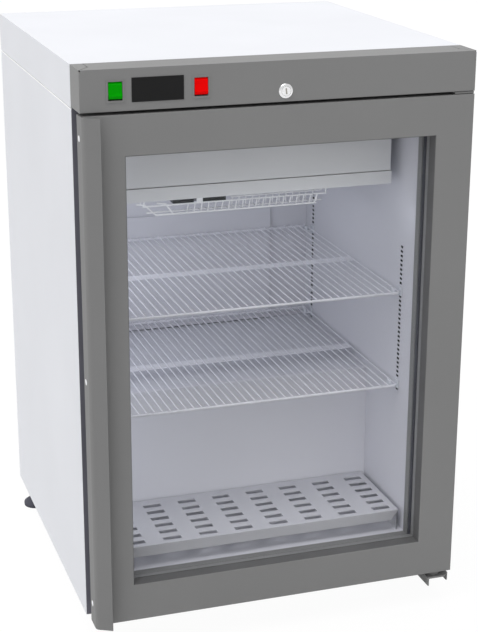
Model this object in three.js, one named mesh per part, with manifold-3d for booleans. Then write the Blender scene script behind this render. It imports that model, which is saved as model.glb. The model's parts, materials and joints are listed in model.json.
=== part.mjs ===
// Glass-door under-counter refrigerator for caviar, built as an assembly of separate pieces.
// Millimetres. X runs across the front, Y from the door's face to the back, Z up from the floor.
import * as THREE from "three";
import { mergeVertices } from "three/addons/utils/BufferGeometryUtils.js";
import Module from "manifold-3d";

const wasm = await Module();
wasm.setup();

// Cabinet
const HALF = 300; // half of the cabinet's width
const HEIGHT = 911; // floor to the top, feet included
const BACK = 612; // door's face to the back of the cabinet
const GAP = 0.3; // clearance between pieces that touch
const SHEET = 1.2; // steel sheet
const SEAM = 1; // visible gap between the outer panels
const BASE_Z = 48.5; // underside of the cabinet
const CABINET_FRONT = 55; // plane that the door's seal closes on
const FASCIA_Z = HEIGHT - 59.7; // lower edge of the control panel
const FASCIA_TAB = [18, 24]; // width of its end tabs, and depth of their mitred corner
const FASCIA_RELIEF = 1.8; // radius of the holes at the ends of the slits
const SKIRT_Z = HEIGHT - 61.8; // lower edge of the top cover
const FRAME_TOP = 850.6; // upper edge of the front frame
const MACHINE_Y = 290; // front wall of the machine compartment
const MACHINE_Z = 290; // ceiling of the machine compartment

// Storage compartment
const INNER_HALF = 243.5;
const LINER = 1.5;
const LINER_FRONT = 69.3;
const INNER_BACK = 547;
const FLOOR_Z = HEIGHT - 806;
const CEILING_Z = 800;
const STEP_Y = 242; // front of the step over the machine compartment
const STEP_Z = HEIGHT - 575; // top of that step

// Shelf racks: two columns of slots in each side wall
const SLOT_PITCH = 7.56;
const SLOT_COUNT = 33;
const SLOT_DEPTH = 7;
const SLOT_HEIGHT = 3;
const SLOT_TOP = HEIGHT - 327.3;
const RACK_Y = [115, 511];
const RACK_CHANNEL = [14, 11]; // width and depth of the pocket behind a column of slots

// Shelves
const WIRE_PITCH = 12.7;
const WIRE = 2.5;
const SHELF_ROD = 4.4; // rods under the wires, along the front and the back
const SHELF_HALF = 238;
const SHELF_FRONT = 104;
const SHELF_REAR = 540;
const SHELF_BAND_Y = 308;
const SHELF_BAND = 22; // width of the flat strip
const SHELF_BAND_SHEET = 1.5;
const SHELF_Z = { upper: 512.5, lower: 353.7 }; // middle of the wires

// Bottom tray
const TRAY_HALF = 235;
const TRAY_FRONT = 73;
const TRAY_REAR = 236;
const TRAY_Z = HEIGHT - 768;
const TRAY_SLOT = [30, 11];
const TRAY_COLUMN_PITCH = 60;
const TRAY_ROW_PITCH = 24.6;
const TRAY_FIRST_ROW = 88.5;

// Door
const DOOR_LEFT = -297.5;
const DOOR_RIGHT = 300;
const DOOR_TOP = 846.8;
const DOOR_BOTTOM = 56.9;
const DOOR_SKIN_DEPTH = 24;
const DOOR_DEPTH = 38;
const WINDOW = [-236.5, 240, HEIGHT - 793.7, HEIGHT - 123.5]; // left, right, bottom, top
const GLASS_Y = 19;
const PANE = 4;
const GLASS_DEPTH = 17.6;
const GLASS_LAP = 11.5; // how far the glass reaches under the frame
const SEAL_HALF = 276;
const HINGE = [276, 18]; // x and y of the door's axis
const HINGE_PIN = 4; // radius
const HINGE_BUSH = 8;
const UPPER_HINGE_X = [268.5, 299.5];
const LOWER_HINGE_X = [260.5, 300];
const LOWER_HINGE_Y = [1, 120];
const LOWER_HINGE_Z = 33.5; // lower edge of the folded flanges
const LOWER_HINGE_SHEET = 2.2;
const BUSH_DEPTH = 17.3; // how far each bush reaches into the door

// Handle
const HANDLE_LEFT = -300;
const HANDLE_SHEET = 2;
const HANDLE_CORNER_Y = -10;
const HANDLE_EDGE = [-277, -22]; // x and y of the free edge
const HANDLE_REAR = 23;
const HANDLE_BEND = 8;

// Controls, at the height of the control panel
const DISPLAY = [-226, -150.7, HEIGHT - 47.5, HEIGHT - 13.3];
const ROCKER_X = { green: -249.2, red: -125.4 };
const ROCKER_Z = HEIGHT - 31;
const ROCKER_SIZE = [19.4, 24];
const ROCKER_TILT = 6; // degrees either side of the middle
const ROCKER_OPENING = [10.2, 13.1]; // half width and half height of the switch's opening
const SWITCH_WALL = 1.5;
const SWITCH_BEZEL = 3.5; // width of its flat rim on the panel
const LOCK = [0.8, HEIGHT - 44];
const LOCK_PLUG = 7; // radius of the part that the key turns
const CAM_REACH = 28;
const CAM_Y = [20.6, 23.4];
const CAM_SLOT_Z = 832; // the cam turns down into the door's upper edge

// Evaporator in the ceiling
const EVAPORATOR_HALF = 225.6;
const EVAPORATOR_FRONT = 130;
const EVAPORATOR_REAR = 470;
const EVAPORATOR_FOLD_Z = HEIGHT - 204.4;
const EVAPORATOR_LIP_Z = HEIGHT - 225.4;
const AIR_FAN = [-58.5, 275]; // x and y of the fan's axis
const AIR_FAN_SIZE = 88;
const AIR_FAN_BORE = 41;
const AIR_FAN_Z = [652, 685.3];
const AIR_FAN_HUB = 17;
const AIR_ROTOR = { hub: 16, tip: 38, depth: 20 };
const COIL = { x: [-190, 190], y: [380, 450], z: [712, 790] };
const DUCT = { half: 171, top: 550 }; // air duct cover on the back wall
const GUARD = { x: [-161, 145], y: [200, 221], z: [643.5, 659.8] };
const GUARD_WIRE = 1.5;
const GUARD_BAR_PITCH = 22.76;

// Machine compartment
const CONDENSER_X = [-270, -50];
const CONDENSER_Y = [300, 350];
const CONDENSER_Z = [62, 262];
const CONDENSER_FAN = [-160, 162]; // x and z of the fan's axis
const CONDENSER_MOTOR_Y = 420; // front of the fan's motor
const COOLING_ROTOR = { hub: 18, tip: 78, depth: 22 };
const SHROUD_DEPTH = 40;
const MOTOR_STAY = 96; // how far up and down the motor's arms reach
const COMPRESSOR = [150, 460];
const COMPRESSOR_PLATE_Z = [70, 76];
const GROMMET_OFFSET = [80, 30];
const INLET = { x: [220, 248], z: [75, 97] };

// Feet
const FOOT_PLACES = {
  front_left: [-245, 150],
  front_right: [245, 150],
  rear_left: [-279, 578],
  rear_right: [279, 578],
};
const STEM_RADIUS = 5;

const DEGREES = Math.PI / 180;

const paint = (color, roughness, metalness = 0) =>
  new THREE.MeshStandardMaterial({ color, roughness, metalness });
const WHITE_STEEL = paint(0xe4e6ea, 0.4);
const GREY_STEEL = paint(0x7a7a7a, 0.5);
const LINER_WHITE = paint(0xd8dade, 0.45);
const FOAM = paint(0xe8dcb0, 0.9);
const DARK_PLASTIC = paint(0x505057, 0.6);
const BLACK_PLASTIC = paint(0x202022, 0.5);
const RUBBER = paint(0x4b4b52, 0.8);
const GALVANISED = paint(0xa8abae, 0.45, 0.8);
const CHROME = paint(0xd8d8da, 0.15, 1);
const ALUMINIUM = paint(0xb4b6ba, 0.4, 0.9);
const COPPER = paint(0xb87333, 0.35, 1);
const WIRE_COAT = paint(0xe0e2ea, 0.4);
const CLEAR_PLASTIC = paint(0xd9dbe2, 0.2);
const GREEN = paint(0x009600, 0.4);
const RED = paint(0xe60000, 0.4);
const GLASS = new THREE.MeshStandardMaterial({
  color: 0xdfe6e6,
  roughness: 0.05,
  metalness: 0,
  transparent: true,
  opacity: 0.3,
});

// Everything is placed from the door's face; the outer group centres the footprint.
const model = new THREE.Group();
const assembly = new THREE.Group();
assembly.position.y = -(BACK + HANDLE_EDGE[1]) / 2;
model.add(assembly);

function add(name, geometry, material) {
  const mesh = new THREE.Mesh(geometry, material);
  mesh.name = name;
  assembly.add(mesh);
  return mesh;
}

// Solids
function solid(geometry) {
  const bare = new THREE.BufferGeometry();
  const source = geometry.index ? geometry.toNonIndexed() : geometry;
  bare.setAttribute("position", source.getAttribute("position"));
  const merged = mergeVertices(bare, 1e-3);
  return new wasm.Manifold(
    new wasm.Mesh({
      numProp: 3,
      vertProperties: merged.attributes.position.array,
      triVerts: new Uint32Array(merged.index.array),
    }),
  );
}

function surface(manifold) {
  const mesh = manifold.getMesh();
  const geometry = new THREE.BufferGeometry();
  const position = new THREE.BufferAttribute(new Float32Array(mesh.vertProperties), 3);
  geometry.setAttribute("position", position);
  geometry.setIndex(new THREE.BufferAttribute(new Uint32Array(mesh.triVerts), 1));
  const flat = geometry.toNonIndexed();
  flat.computeVertexNormals();
  return flat;
}

function join(...geometries) {
  return surface(geometries.map(solid).reduce((whole, part) => whole.add(part)));
}

function cut(geometry, ...tools) {
  return surface(tools.map(solid).reduce((whole, tool) => whole.subtract(tool), solid(geometry)));
}

function block([x0, x1], [y0, y1], [z0, z1]) {
  const box = new THREE.BoxGeometry(x1 - x0, y1 - y0, z1 - z0);
  return box.translate((x0 + x1) / 2, (y0 + y1) / 2, (z0 + z1) / 2);
}

function outline(points, holes = []) {
  const shape = new THREE.Shape(points.map(([u, v]) => new THREE.Vector2(u, v)));
  for (const hole of holes) {
    shape.holes.push(new THREE.Path(hole.map(([u, v]) => new THREE.Vector2(u, v))));
  }
  return shape;
}

const rectangle = ([u0, u1], [v0, v1]) => [
  [u0, v0],
  [u1, v0],
  [u1, v1],
  [u0, v1],
];

const extrude = (shape, depth) =>
  new THREE.ExtrudeGeometry(shape, { depth, bevelEnabled: false, curveSegments: 8 });

// Flat shape in X and Y, raised from z0 to z1
function plateZ(points, holes, [z0, z1]) {
  return extrude(outline(points, holes), z1 - z0).translate(0, 0, z0);
}

// Flat shape in X and Z, running from y0 to y1
function plateY(points, holes, [y0, y1]) {
  const plate = extrude(outline(points, holes), y1 - y0).rotateX(Math.PI / 2);
  return plate.translate(0, y1, 0);
}

// Flat shape in Y and Z, running from x0 to x1
function plateX(points, holes, [x0, x1]) {
  const plate = extrude(outline(points, holes), x1 - x0);
  return plate.rotateZ(Math.PI / 2).rotateY(Math.PI / 2).translate(x0, 0, 0);
}

// Rectangular ring in X and Z
function ring([x0, x1, z0, z1], [u0, u1, w0, w1], range) {
  return plateY(rectangle([x0, x1], [z0, z1]), [rectangle([u0, u1], [w0, w1])], range);
}

const widen = ([x0, x1, z0, z1], by) => [x0 - by, x1 + by, z0 - by, z1 + by];

function discPoints([u, v], radius, sides = 24) {
  return Array.from({ length: sides }, (_, i) => {
    const angle = (i / sides) * 2 * Math.PI;
    return [u + radius * Math.cos(angle), v + radius * Math.sin(angle)];
  });
}

function rodZ([x, y], radius, [z0, z1], sides = 24) {
  return plateZ(discPoints([x, y], radius, sides), [], [z0, z1]);
}

function rodY([x, z], radius, [y0, y1], sides = 24) {
  return plateY(discPoints([x, z], radius, sides), [], [y0, y1]);
}

function rodX([y, z], radius, [x0, x1], sides = 12) {
  return plateX(discPoints([y, z], radius, sides), [], [x0, x1]);
}

// Straight bar between two points, with a flat-sided round section
function bar(from, to, radius, sides = 6) {
  const a = new THREE.Vector3(...from);
  const b = new THREE.Vector3(...to);
  const rod = new THREE.CylinderGeometry(radius, radius, a.distanceTo(b), sides);
  const turn = new THREE.Quaternion().setFromUnitVectors(
    new THREE.Vector3(0, 1, 0),
    b.clone().sub(a).normalize(),
  );
  const middle = a.clone().add(b).multiplyScalar(0.5);
  return rod.applyQuaternion(turn).translate(middle.x, middle.y, middle.z);
}

function lathe(profile, [x, y], sides = 24) {
  const points = profile.map(([radius, z]) => new THREE.Vector2(radius, z));
  return new THREE.LatheGeometry(points, sides).rotateX(Math.PI / 2).translate(x, y, 0);
}

const mirrored = (side, [x0, x1]) => (side < 0 ? [-x1, -x0] : [x0, x1]);

// Outer shell
function topCover() {
  const inside = block(
    [-HALF + SHEET, HALF - SHEET],
    [CABINET_FRONT, BACK - SHEET],
    [SKIRT_Z - 1, HEIGHT - SHEET],
  );
  return cut(block([-HALF, HALF], [CABINET_FRONT + SEAM, BACK], [SKIRT_Z, HEIGHT]), inside);
}

function sidePanel(side) {
  const angle = [
    [side * HALF, CABINET_FRONT],
    [side * HALF, BACK],
    [side * (HALF - 15), BACK],
    [side * (HALF - 15), BACK - SHEET],
    [side * (HALF - SHEET), BACK - SHEET],
    [side * (HALF - SHEET), CABINET_FRONT],
  ];
  return plateZ(angle, [], [BASE_Z, SKIRT_Z - SEAM]);
}

function rearPanel() {
  const y = [BACK - 2 * SHEET - GAP, BACK - SHEET - GAP];
  return block([-HALF + 1.5, HALF - 1.5], y, [MACHINE_Z + 2, SKIRT_Z - GAP]);
}

function basePlate() {
  const flangeX = HALF - 1.5;
  const y = [CABINET_FRONT + 3, BACK - 4];
  const floor = block([-flangeX, flangeX], y, [BASE_Z, BASE_Z + LINER]);
  const flanges = [-1, 1].map((side) =>
    block(mirrored(side, [flangeX - SHEET, flangeX]), y, [BASE_Z, BASE_Z + 14]),
  );
  const stems = Object.values(FOOT_PLACES).map((place) =>
    rodZ(place, STEM_RADIUS + 0.5, [BASE_Z - 1, BASE_Z + 3]),
  );
  return cut(join(floor, ...flanges), ...stems);
}

function frontFrame() {
  const opening = [-INNER_HALF, INNER_HALF, FLOOR_Z, CEILING_Z];
  const outer = [-HALF + 1.5, HALF - 1.5, BASE_Z, FRAME_TOP];
  const face = ring(outer, opening, [CABINET_FRONT, CABINET_FRONT + LINER]);
  const lining = ring(widen(opening, LINER), opening, [CABINET_FRONT, LINER_FRONT - GAP]);
  return join(face, lining);
}

function rearGrille() {
  const louvres = [];
  for (const x of [-225, -75, 75]) {
    for (let z = 125; z < 275; z += 20) {
      louvres.push(block([x, x + 120], [BACK - 3, BACK + 1], [z, z + 8]));
    }
  }
  const inletHole = block(
    [INLET.x[0] - 0.4, INLET.x[1] + 0.4],
    [BACK - 3, BACK + 1],
    [INLET.z[0] - 0.4, INLET.z[1] + 0.4],
  );
  const x = [-HALF + 15.3, HALF - 15.3];
  const sheet = block(x, [BACK - SHEET, BACK], [BASE_Z + 2, MACHINE_Z + 1.5]);
  return cut(sheet, ...louvres, inletHole);
}

function foamInsulation() {
  const side = HALF - 3;
  const body = block([-side, side], [CABINET_FRONT + 2, BACK - 4], [BASE_Z + 1.8, FRAME_TOP]);
  const skin = LINER + GAP;
  const upper = block(
    [-INNER_HALF - skin, INNER_HALF + skin],
    [CABINET_FRONT, INNER_BACK + skin],
    [STEP_Z - skin, CEILING_Z + skin],
  );
  const lower = block(
    [-INNER_HALF - skin, INNER_HALF + skin],
    [CABINET_FRONT, STEP_Y + skin],
    [FLOOR_Z - skin, CEILING_Z],
  );
  const machine = block([-HALF, HALF], [MACHINE_Y, BACK], [BASE_Z - 1, MACHINE_Z]);
  const pockets = ["front_left", "front_right"].map((corner) =>
    rodZ(FOOT_PLACES[corner], 8, [BASE_Z, BASE_Z + 16], 12),
  );
  const channels = [-1, 1].flatMap((wall) =>
    RACK_Y.map((y) =>
      block(
        mirrored(wall, [INNER_HALF, INNER_HALF + RACK_CHANNEL[1]]),
        [y - RACK_CHANNEL[0] / 2, y + RACK_CHANNEL[0] / 2],
        [SLOT_TOP - SLOT_COUNT * SLOT_PITCH - 4, SLOT_TOP + 6],
      ),
    ),
  );
  return cut(body, upper, lower, machine, ...pockets, ...channels);
}

// Inner lining
function linerSide(side) {
  const profile = [
    [LINER_FRONT, FLOOR_Z + GAP],
    [STEP_Y - GAP, FLOOR_Z + GAP],
    [STEP_Y - GAP, STEP_Z + GAP],
    [INNER_BACK - GAP, STEP_Z + GAP],
    [INNER_BACK - GAP, CEILING_Z - GAP],
    [LINER_FRONT, CEILING_Z - GAP],
  ];
  const slots = RACK_Y.flatMap((y) =>
    Array.from({ length: SLOT_COUNT }, (_, i) => {
      const z = SLOT_TOP - i * SLOT_PITCH;
      return block(
        mirrored(side, [INNER_HALF - 1, INNER_HALF + LINER + 1]),
        [y - SLOT_DEPTH / 2, y + SLOT_DEPTH / 2],
        [z - SLOT_HEIGHT / 2, z + SLOT_HEIGHT / 2],
      );
    }),
  );
  return cut(plateX(profile, [], mirrored(side, [INNER_HALF, INNER_HALF + LINER])), ...slots);
}

const linerX = [-INNER_HALF - LINER, INNER_HALF + LINER];

function linerBack() {
  const ceiling = block(linerX, [LINER_FRONT, INNER_BACK + LINER], [CEILING_Z, CEILING_Z + LINER]);
  const wall = block(
    linerX,
    [INNER_BACK, INNER_BACK + LINER],
    [STEP_Z + GAP, CEILING_Z + LINER],
  );
  return join(ceiling, wall);
}

function linerBase() {
  const profile = [
    [LINER_FRONT, FLOOR_Z],
    [STEP_Y, FLOOR_Z],
    [STEP_Y, STEP_Z],
    [INNER_BACK + LINER, STEP_Z],
    [INNER_BACK + LINER, STEP_Z - LINER],
    [STEP_Y + LINER, STEP_Z - LINER],
    [STEP_Y + LINER, FLOOR_Z - LINER],
    [LINER_FRONT, FLOOR_Z - LINER],
  ];
  return plateX(profile, [], linerX);
}

// Shelves: a comb of wires in a frame, with a flat strip under the middle
function shelf(z) {
  const half = (WIRE_PITCH - WIRE) / 2;
  const under = z - WIRE / 2;
  const gapY = [SHELF_FRONT + SHELF_ROD, SHELF_REAR - SHELF_ROD];
  const gaps = [];
  for (let i = -18; i <= 18; i += 1) {
    const x = i * WIRE_PITCH;
    gaps.push(block([x - half, x + half], gapY, [under - 1, z + WIRE]));
  }
  const across = [-SHELF_HALF, SHELF_HALF];
  const sheet = block(across, [SHELF_FRONT, SHELF_REAR], [under, z + WIRE / 2]);
  const comb = cut(sheet, ...gaps);
  const rods = [
    [SHELF_FRONT, gapY[0]],
    [gapY[1], SHELF_REAR],
  ].map((y) => block(across, y, [under - SHELF_ROD, z]));
  const bandY = [SHELF_BAND_Y - SHELF_BAND / 2, SHELF_BAND_Y + SHELF_BAND / 2];
  const strip = block(across, bandY, [under - SHELF_BAND_SHEET, under]);
  return join(comb, strip, ...rods);
}

// Clip hooked into a rack slot, with a ledge under the shelf's edge
function shelfClip(side, y, shelfZ) {
  const ledgeZ = shelfZ - WIRE / 2 - GAP;
  const slotIndex = Math.round((SLOT_TOP - ledgeZ) / SLOT_PITCH);
  const hookZ = SLOT_TOP - slotIndex * SLOT_PITCH;
  const wall = INNER_HALF - GAP;
  const plate = block(mirrored(side, [wall - 2.5, wall]), [y - 7, y + 7], [hookZ - 5, ledgeZ + 7]);
  const ledge = block(mirrored(side, [wall - 17, wall]), [y - 6, y + 6], [ledgeZ - 3, ledgeZ]);
  const hook = block(
    mirrored(side, [wall - 1, wall + 6]),
    [y - 3, y + 3],
    [hookZ - 1, hookZ + 1],
  );
  return join(plate, ledge, hook);
}

function bottomTray() {
  const slots = [];
  for (let column = -3.5; column <= 3.5; column += 1) {
    for (let row = 0; row < 6; row += 1) {
      const x = column * TRAY_COLUMN_PITCH;
      const y = TRAY_FIRST_ROW + row * TRAY_ROW_PITCH;
      slots.push(
        block(
          [x - TRAY_SLOT[0] / 2, x + TRAY_SLOT[0] / 2],
          [y - TRAY_SLOT[1] / 2, y + TRAY_SLOT[1] / 2],
          [TRAY_Z - 3, TRAY_Z + 1],
        ),
      );
    }
  }
  const sheet = block([-TRAY_HALF, TRAY_HALF], [TRAY_FRONT, TRAY_REAR], [TRAY_Z - SHEET, TRAY_Z]);
  const top = cut(sheet, ...slots);
  const lip = plateY(
    [
      [-TRAY_HALF + 12, TRAY_Z - 17.5],
      [TRAY_HALF - 12, TRAY_Z - 17.5],
      [TRAY_HALF, TRAY_Z - SHEET / 2],
      [-TRAY_HALF, TRAY_Z - SHEET / 2],
    ],
    [],
    [TRAY_FRONT, TRAY_FRONT + SHEET],
  );
  const sides = [-1, 1].map((side) =>
    block(
      mirrored(side, [TRAY_HALF - SHEET, TRAY_HALF]),
      [TRAY_FRONT + 3, TRAY_REAR],
      [FLOOR_Z + GAP, TRAY_Z],
    ),
  );
  return join(top, lip, ...sides);
}

// Evaporator, its cover, drip tray, fan and guard
function evaporatorHousing() {
  const x = [-EVAPORATOR_HALF, EVAPORATOR_HALF];
  const front = block(
    x,
    [EVAPORATOR_FRONT, EVAPORATOR_FRONT + SHEET],
    [EVAPORATOR_FOLD_Z, CEILING_Z - GAP],
  );
  const ends = [-1, 1].map((side) =>
    block(
      mirrored(side, [EVAPORATOR_HALF - SHEET, EVAPORATOR_HALF]),
      [EVAPORATOR_FRONT, EVAPORATOR_REAR],
      [EVAPORATOR_FOLD_Z, CEILING_Z - GAP],
    ),
  );
  return join(front, ...ends);
}

function dripTray() {
  const x = [-EVAPORATOR_HALF - 1, EVAPORATOR_HALF + 1];
  const y = [EVAPORATOR_FRONT - 1.5, EVAPORATOR_REAR];
  const pan = cut(
    block(x, y, [EVAPORATOR_LIP_Z, EVAPORATOR_FOLD_Z - GAP]),
    block(
      [x[0] + SHEET, x[1] - SHEET],
      [y[0] + SHEET, y[1] - SHEET],
      [EVAPORATOR_LIP_Z + SHEET, EVAPORATOR_FOLD_Z + 1],
    ),
  );
  return cut(pan, rodZ(AIR_FAN, AIR_FAN_BORE, [EVAPORATOR_LIP_Z - 1, EVAPORATOR_FOLD_Z]));
}

function finBlock([x0, x1], [y0, y1], [z0, z1], pitch, fin) {
  const gaps = [];
  for (let x = x0 + 8; x < x1 - 8 - pitch + fin; x += pitch) {
    gaps.push(block([x, x + pitch - fin], [y0 - 1, y1 + 1], [z0 + 8, z1 - 8]));
  }
  return cut(block([x0, x1], [y0, y1], [z0, z1]), ...gaps);
}

// Square frame with a round bore, four struts to the motor's hub and a notch for the lead
function fanFrame() {
  const half = AIR_FAN_SIZE / 2;
  const [x, y] = AIR_FAN;
  const [bottom, top] = AIR_FAN_Z;
  const square = block([x - half, x + half], [y - half, y + half], AIR_FAN_Z);
  const bore = rodZ(AIR_FAN, AIR_FAN_BORE, [bottom - 1, top + 1]);
  const notch = block([x - 9.4, x], [y - half - 1, y - half + 10], [bottom - 1, bottom + 8]);
  const hub = rodZ(AIR_FAN, AIR_FAN_HUB, [top - 6, top]);
  const struts = [45, 135].map((angle) =>
    block([-half, half], [-2.5, 2.5], [top - 4, top]).rotateZ(angle * DEGREES).translate(x, y, 0),
  );
  return join(cut(square, bore, notch), hub, ...struts);
}

// Blades pitched round a hub whose axis is Z through the origin
function rotor({ hub, tip, depth }, blades) {
  const boss = rodZ([0, 0], hub, [0, depth], 20);
  const set = Array.from({ length: blades }, (_, i) =>
    block([hub - 2, tip], [-hub * 0.62, hub * 0.62], [-0.8, 0.8])
      .rotateX(32 * DEGREES)
      .translate(0, 0, depth / 2)
      .rotateZ((i / blades) * 2 * Math.PI),
  );
  return join(boss, ...set);
}

// Wire basket that hangs from the drip tray: four long wires, end posts and bars bent in a U
function fanGuard() {
  const { x: ends, y: sides, z: levels } = GUARD;
  const [bottom, top] = levels;
  const pieces = [];
  for (const y of sides) {
    for (const z of levels) {
      pieces.push(bar([ends[0], y, z], [ends[1], y, z], GUARD_WIRE));
    }
    for (const x of [ends[0] + GUARD_WIRE, ends[1] - GUARD_WIRE]) {
      pieces.push(bar([x, y, bottom], [x, y, EVAPORATOR_LIP_Z - GAP], GUARD_WIRE));
    }
  }
  for (const x of [ends[0] + GUARD_WIRE, ends[1] - GUARD_WIRE]) {
    pieces.push(bar([x, sides[0], bottom], [x, sides[1], bottom], GUARD_WIRE));
  }
  for (let x = ends[1] - GUARD_BAR_PITCH; x > ends[0] + 60; x -= GUARD_BAR_PITCH) {
    pieces.push(bar([x, sides[0], bottom], [x, sides[1], bottom], 1, 4));
    for (const y of sides) {
      pieces.push(bar([x, y, bottom], [x, y, top], 1, 4));
    }
  }
  return join(...pieces);
}

function airDuctCover() {
  const { half, top } = DUCT;
  const front = SHELF_REAR + 0.5;
  const outer = block([-half, half], [front, INNER_BACK - GAP], [STEP_Z + 2, top]);
  const inner = block(
    [-half + SHEET, half - SHEET],
    [front + SHEET, INNER_BACK + 1],
    [STEP_Z + 1, top - SHEET],
  );
  return cut(outer, inner);
}

// Machine compartment
function compressor() {
  const shell = lathe(
    [
      [0, 74],
      [62, 74],
      [78, 90],
      [80, 128],
      [78, 172],
      [66, 198],
      [40, 210],
      [0, 213],
    ],
    COMPRESSOR,
    20,
  );
  const [x, y] = COMPRESSOR;
  const [plateLow] = COMPRESSOR_PLATE_Z;
  const mount = block([x - 92, x + 92], [y - 40, y + 40], COMPRESSOR_PLATE_Z);
  const grommets = [-1, 1].flatMap((right) =>
    [-1, 1].map((behind) => {
      const place = [x + right * GROMMET_OFFSET[0], y + behind * GROMMET_OFFSET[1]];
      return rodZ(place, 9, [BASE_Z + LINER + GAP, plateLow + 2], 12);
    }),
  );
  const box = block([x + 60, x + 108], [y - 30, y + 30], [110, 165]);
  return join(shell, mount, box, ...grommets);
}

function condenserShroud() {
  const [x0, x1] = CONDENSER_X;
  const [z0, z1] = CONDENSER_Z;
  const front = CONDENSER_Y[1];
  const rear = front + SHROUD_DEPTH;
  const outer = block([x0, x1], [front + GAP, rear], [z0, z1]);
  const inner = block(
    [x0 + SHEET, x1 - SHEET],
    [front - 1, rear - SHEET],
    [z0 + SHEET, z1 - SHEET],
  );
  const bore = rodY(CONDENSER_FAN, COOLING_ROTOR.tip + 6, [rear - 10, rear + 5]);
  const feet = [x0 + 10, x1 - 40].map((x) =>
    block([x, x + 30], [front + 10, rear - 10], [BASE_Z + LINER + GAP, z0 + 1]),
  );
  return join(cut(outer, inner, bore), ...feet);
}

function condenserMotor() {
  const [x, z] = CONDENSER_FAN;
  const y = CONDENSER_MOTOR_Y;
  const stay = MOTOR_STAY;
  const can = rodY(CONDENSER_FAN, 38, [y, y + 55], 20);
  const legs = [
    [z - stay, z],
    [z, z + stay],
  ].map((reach) => block([x - 6, x + 6], [y + 2, y + 8], reach));
  const stayY = [CONDENSER_Y[1] + SHROUD_DEPTH + GAP, y + 8];
  const stays = [
    [z - stay, z - stay + 4],
    [z + stay - 4, z + stay],
  ].map((reach) => block([x - 6, x + 6], stayY, reach));
  const shaft = rodY(CONDENSER_FAN, 3, [y - 6, y + 1], 12);
  return join(can, shaft, ...legs, ...stays);
}

function refrigerantPipe() {
  const [x, y] = COMPRESSOR;
  const route = new THREE.CatmullRomCurve3(
    [
      [x - 44.8, y + 67.2, 110],
      [x - 56, y + 84, 110],
      [x - 80, y + 110, 135],
      [x - 100, y + 118, 190],
      [x - 130, y + 116, 255],
      [-60, y + 90, 276],
      [-170, y + 30, 277],
      [-240, y - 50, 277],
      [-262, 350, 276],
      [-262, 326, 272],
      [-262, 325, 262.5],
    ].map((point) => new THREE.Vector3(...point)),
  );
  const section = outline(discPoints([0, 0], 4, 8));
  return new THREE.ExtrudeGeometry(section, { extrudePath: route, steps: 34 });
}

function powerInlet() {
  const around = (marginX, marginZ, y) =>
    block(
      [INLET.x[0] - marginX, INLET.x[1] + marginX],
      y,
      [INLET.z[0] - marginZ, INLET.z[1] + marginZ],
    );
  const body = around(0, 0, [BACK - 26, BACK]);
  const flange = around(8, 5, [BACK - SHEET - 2.3, BACK - SHEET - GAP]);
  const socket = around(-2, -2, [BACK - 18, BACK + 1]);
  return cut(join(body, flange), socket);
}

// Control panel
function switchHole(x) {
  const [w, h] = ROCKER_OPENING;
  const reach = SWITCH_WALL + 0.4;
  return block([x - w - reach, x + w + reach], [-5, 20], [ROCKER_Z - h - reach, ROCKER_Z + h + reach]);
}

// Slits and a relief hole round the tab that each folded end lays over the top
function tabSlits(side) {
  const [tab, mitre] = FASCIA_TAB;
  const z = [HEIGHT - SHEET - 0.3, HEIGHT + 1];
  const half = SEAM / 2;
  const x = side * (HALF - tab);
  const length = Math.hypot(tab, mitre);
  const across = [(side * mitre * half) / length, (tab * half) / length];
  const diagonal = [
    [side * HALF - across[0], -across[1]],
    [side * HALF + across[0], across[1]],
    [x + across[0], mitre + across[1]],
    [x - across[0], mitre - across[1]],
  ];
  return [
    plateZ(diagonal, [], z),
    block([x - half, x + half], [mitre, CABINET_FRONT + 1], z),
    rodZ([x, mitre], FASCIA_RELIEF, z, 12),
    rodZ([side * (HALF - 1), 1], FASCIA_RELIEF, [HEIGHT - 2.5, HEIGHT + 1], 12),
  ];
}

function fascia() {
  const shell = cut(
    block([-HALF, HALF], [0, CABINET_FRONT], [FASCIA_Z, HEIGHT]),
    block(
      [-HALF + SHEET, HALF - SHEET],
      [SHEET, CABINET_FRONT + 1],
      [FASCIA_Z + SHEET, HEIGHT - SHEET],
    ),
    block([-HALF + SHEET, HALF - SHEET], [18, CABINET_FRONT + 1], [FASCIA_Z - 1, HEIGHT - 5]),
  );
  const [x0, x1, z0, z1] = DISPLAY;
  const display = block([x0 + 2, x1 - 2], [-5, 20], [z0 + 2, z1 - 2]);
  const lock = rodY(LOCK, 9.4, [-5, 10]);
  const switches = Object.values(ROCKER_X).map(switchHole);
  return cut(shell, display, lock, ...switches, ...tabSlits(-1), ...tabSlits(1));
}

function controller() {
  const [x0, x1, z0, z1] = DISPLAY;
  const bezel = block([x0, x1], [-1, -GAP], [z0, z1]);
  const body = block([x0 + 2.5, x1 - 2.5], [-0.6, 62], [z0 + 2.5, z1 - 2.5]);
  return join(bezel, body);
}

function switchBody(x) {
  const [w, h] = ROCKER_OPENING;
  const around = (margin, depth) =>
    block(
      [x - w - margin, x + w + margin],
      depth,
      [ROCKER_Z - h - margin, ROCKER_Z + h + margin],
    );
  const body = around(SWITCH_WALL, [-0.5, 24]);
  const bezel = around(SWITCH_BEZEL, [-0.8, -GAP]);
  const pocket = around(0, [-5, 22.5]);
  const pivot = rodX([8, ROCKER_Z], 2.1, [x - w - 0.9, x + w + 0.9]);
  return cut(join(body, bezel), pocket, pivot);
}

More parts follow.
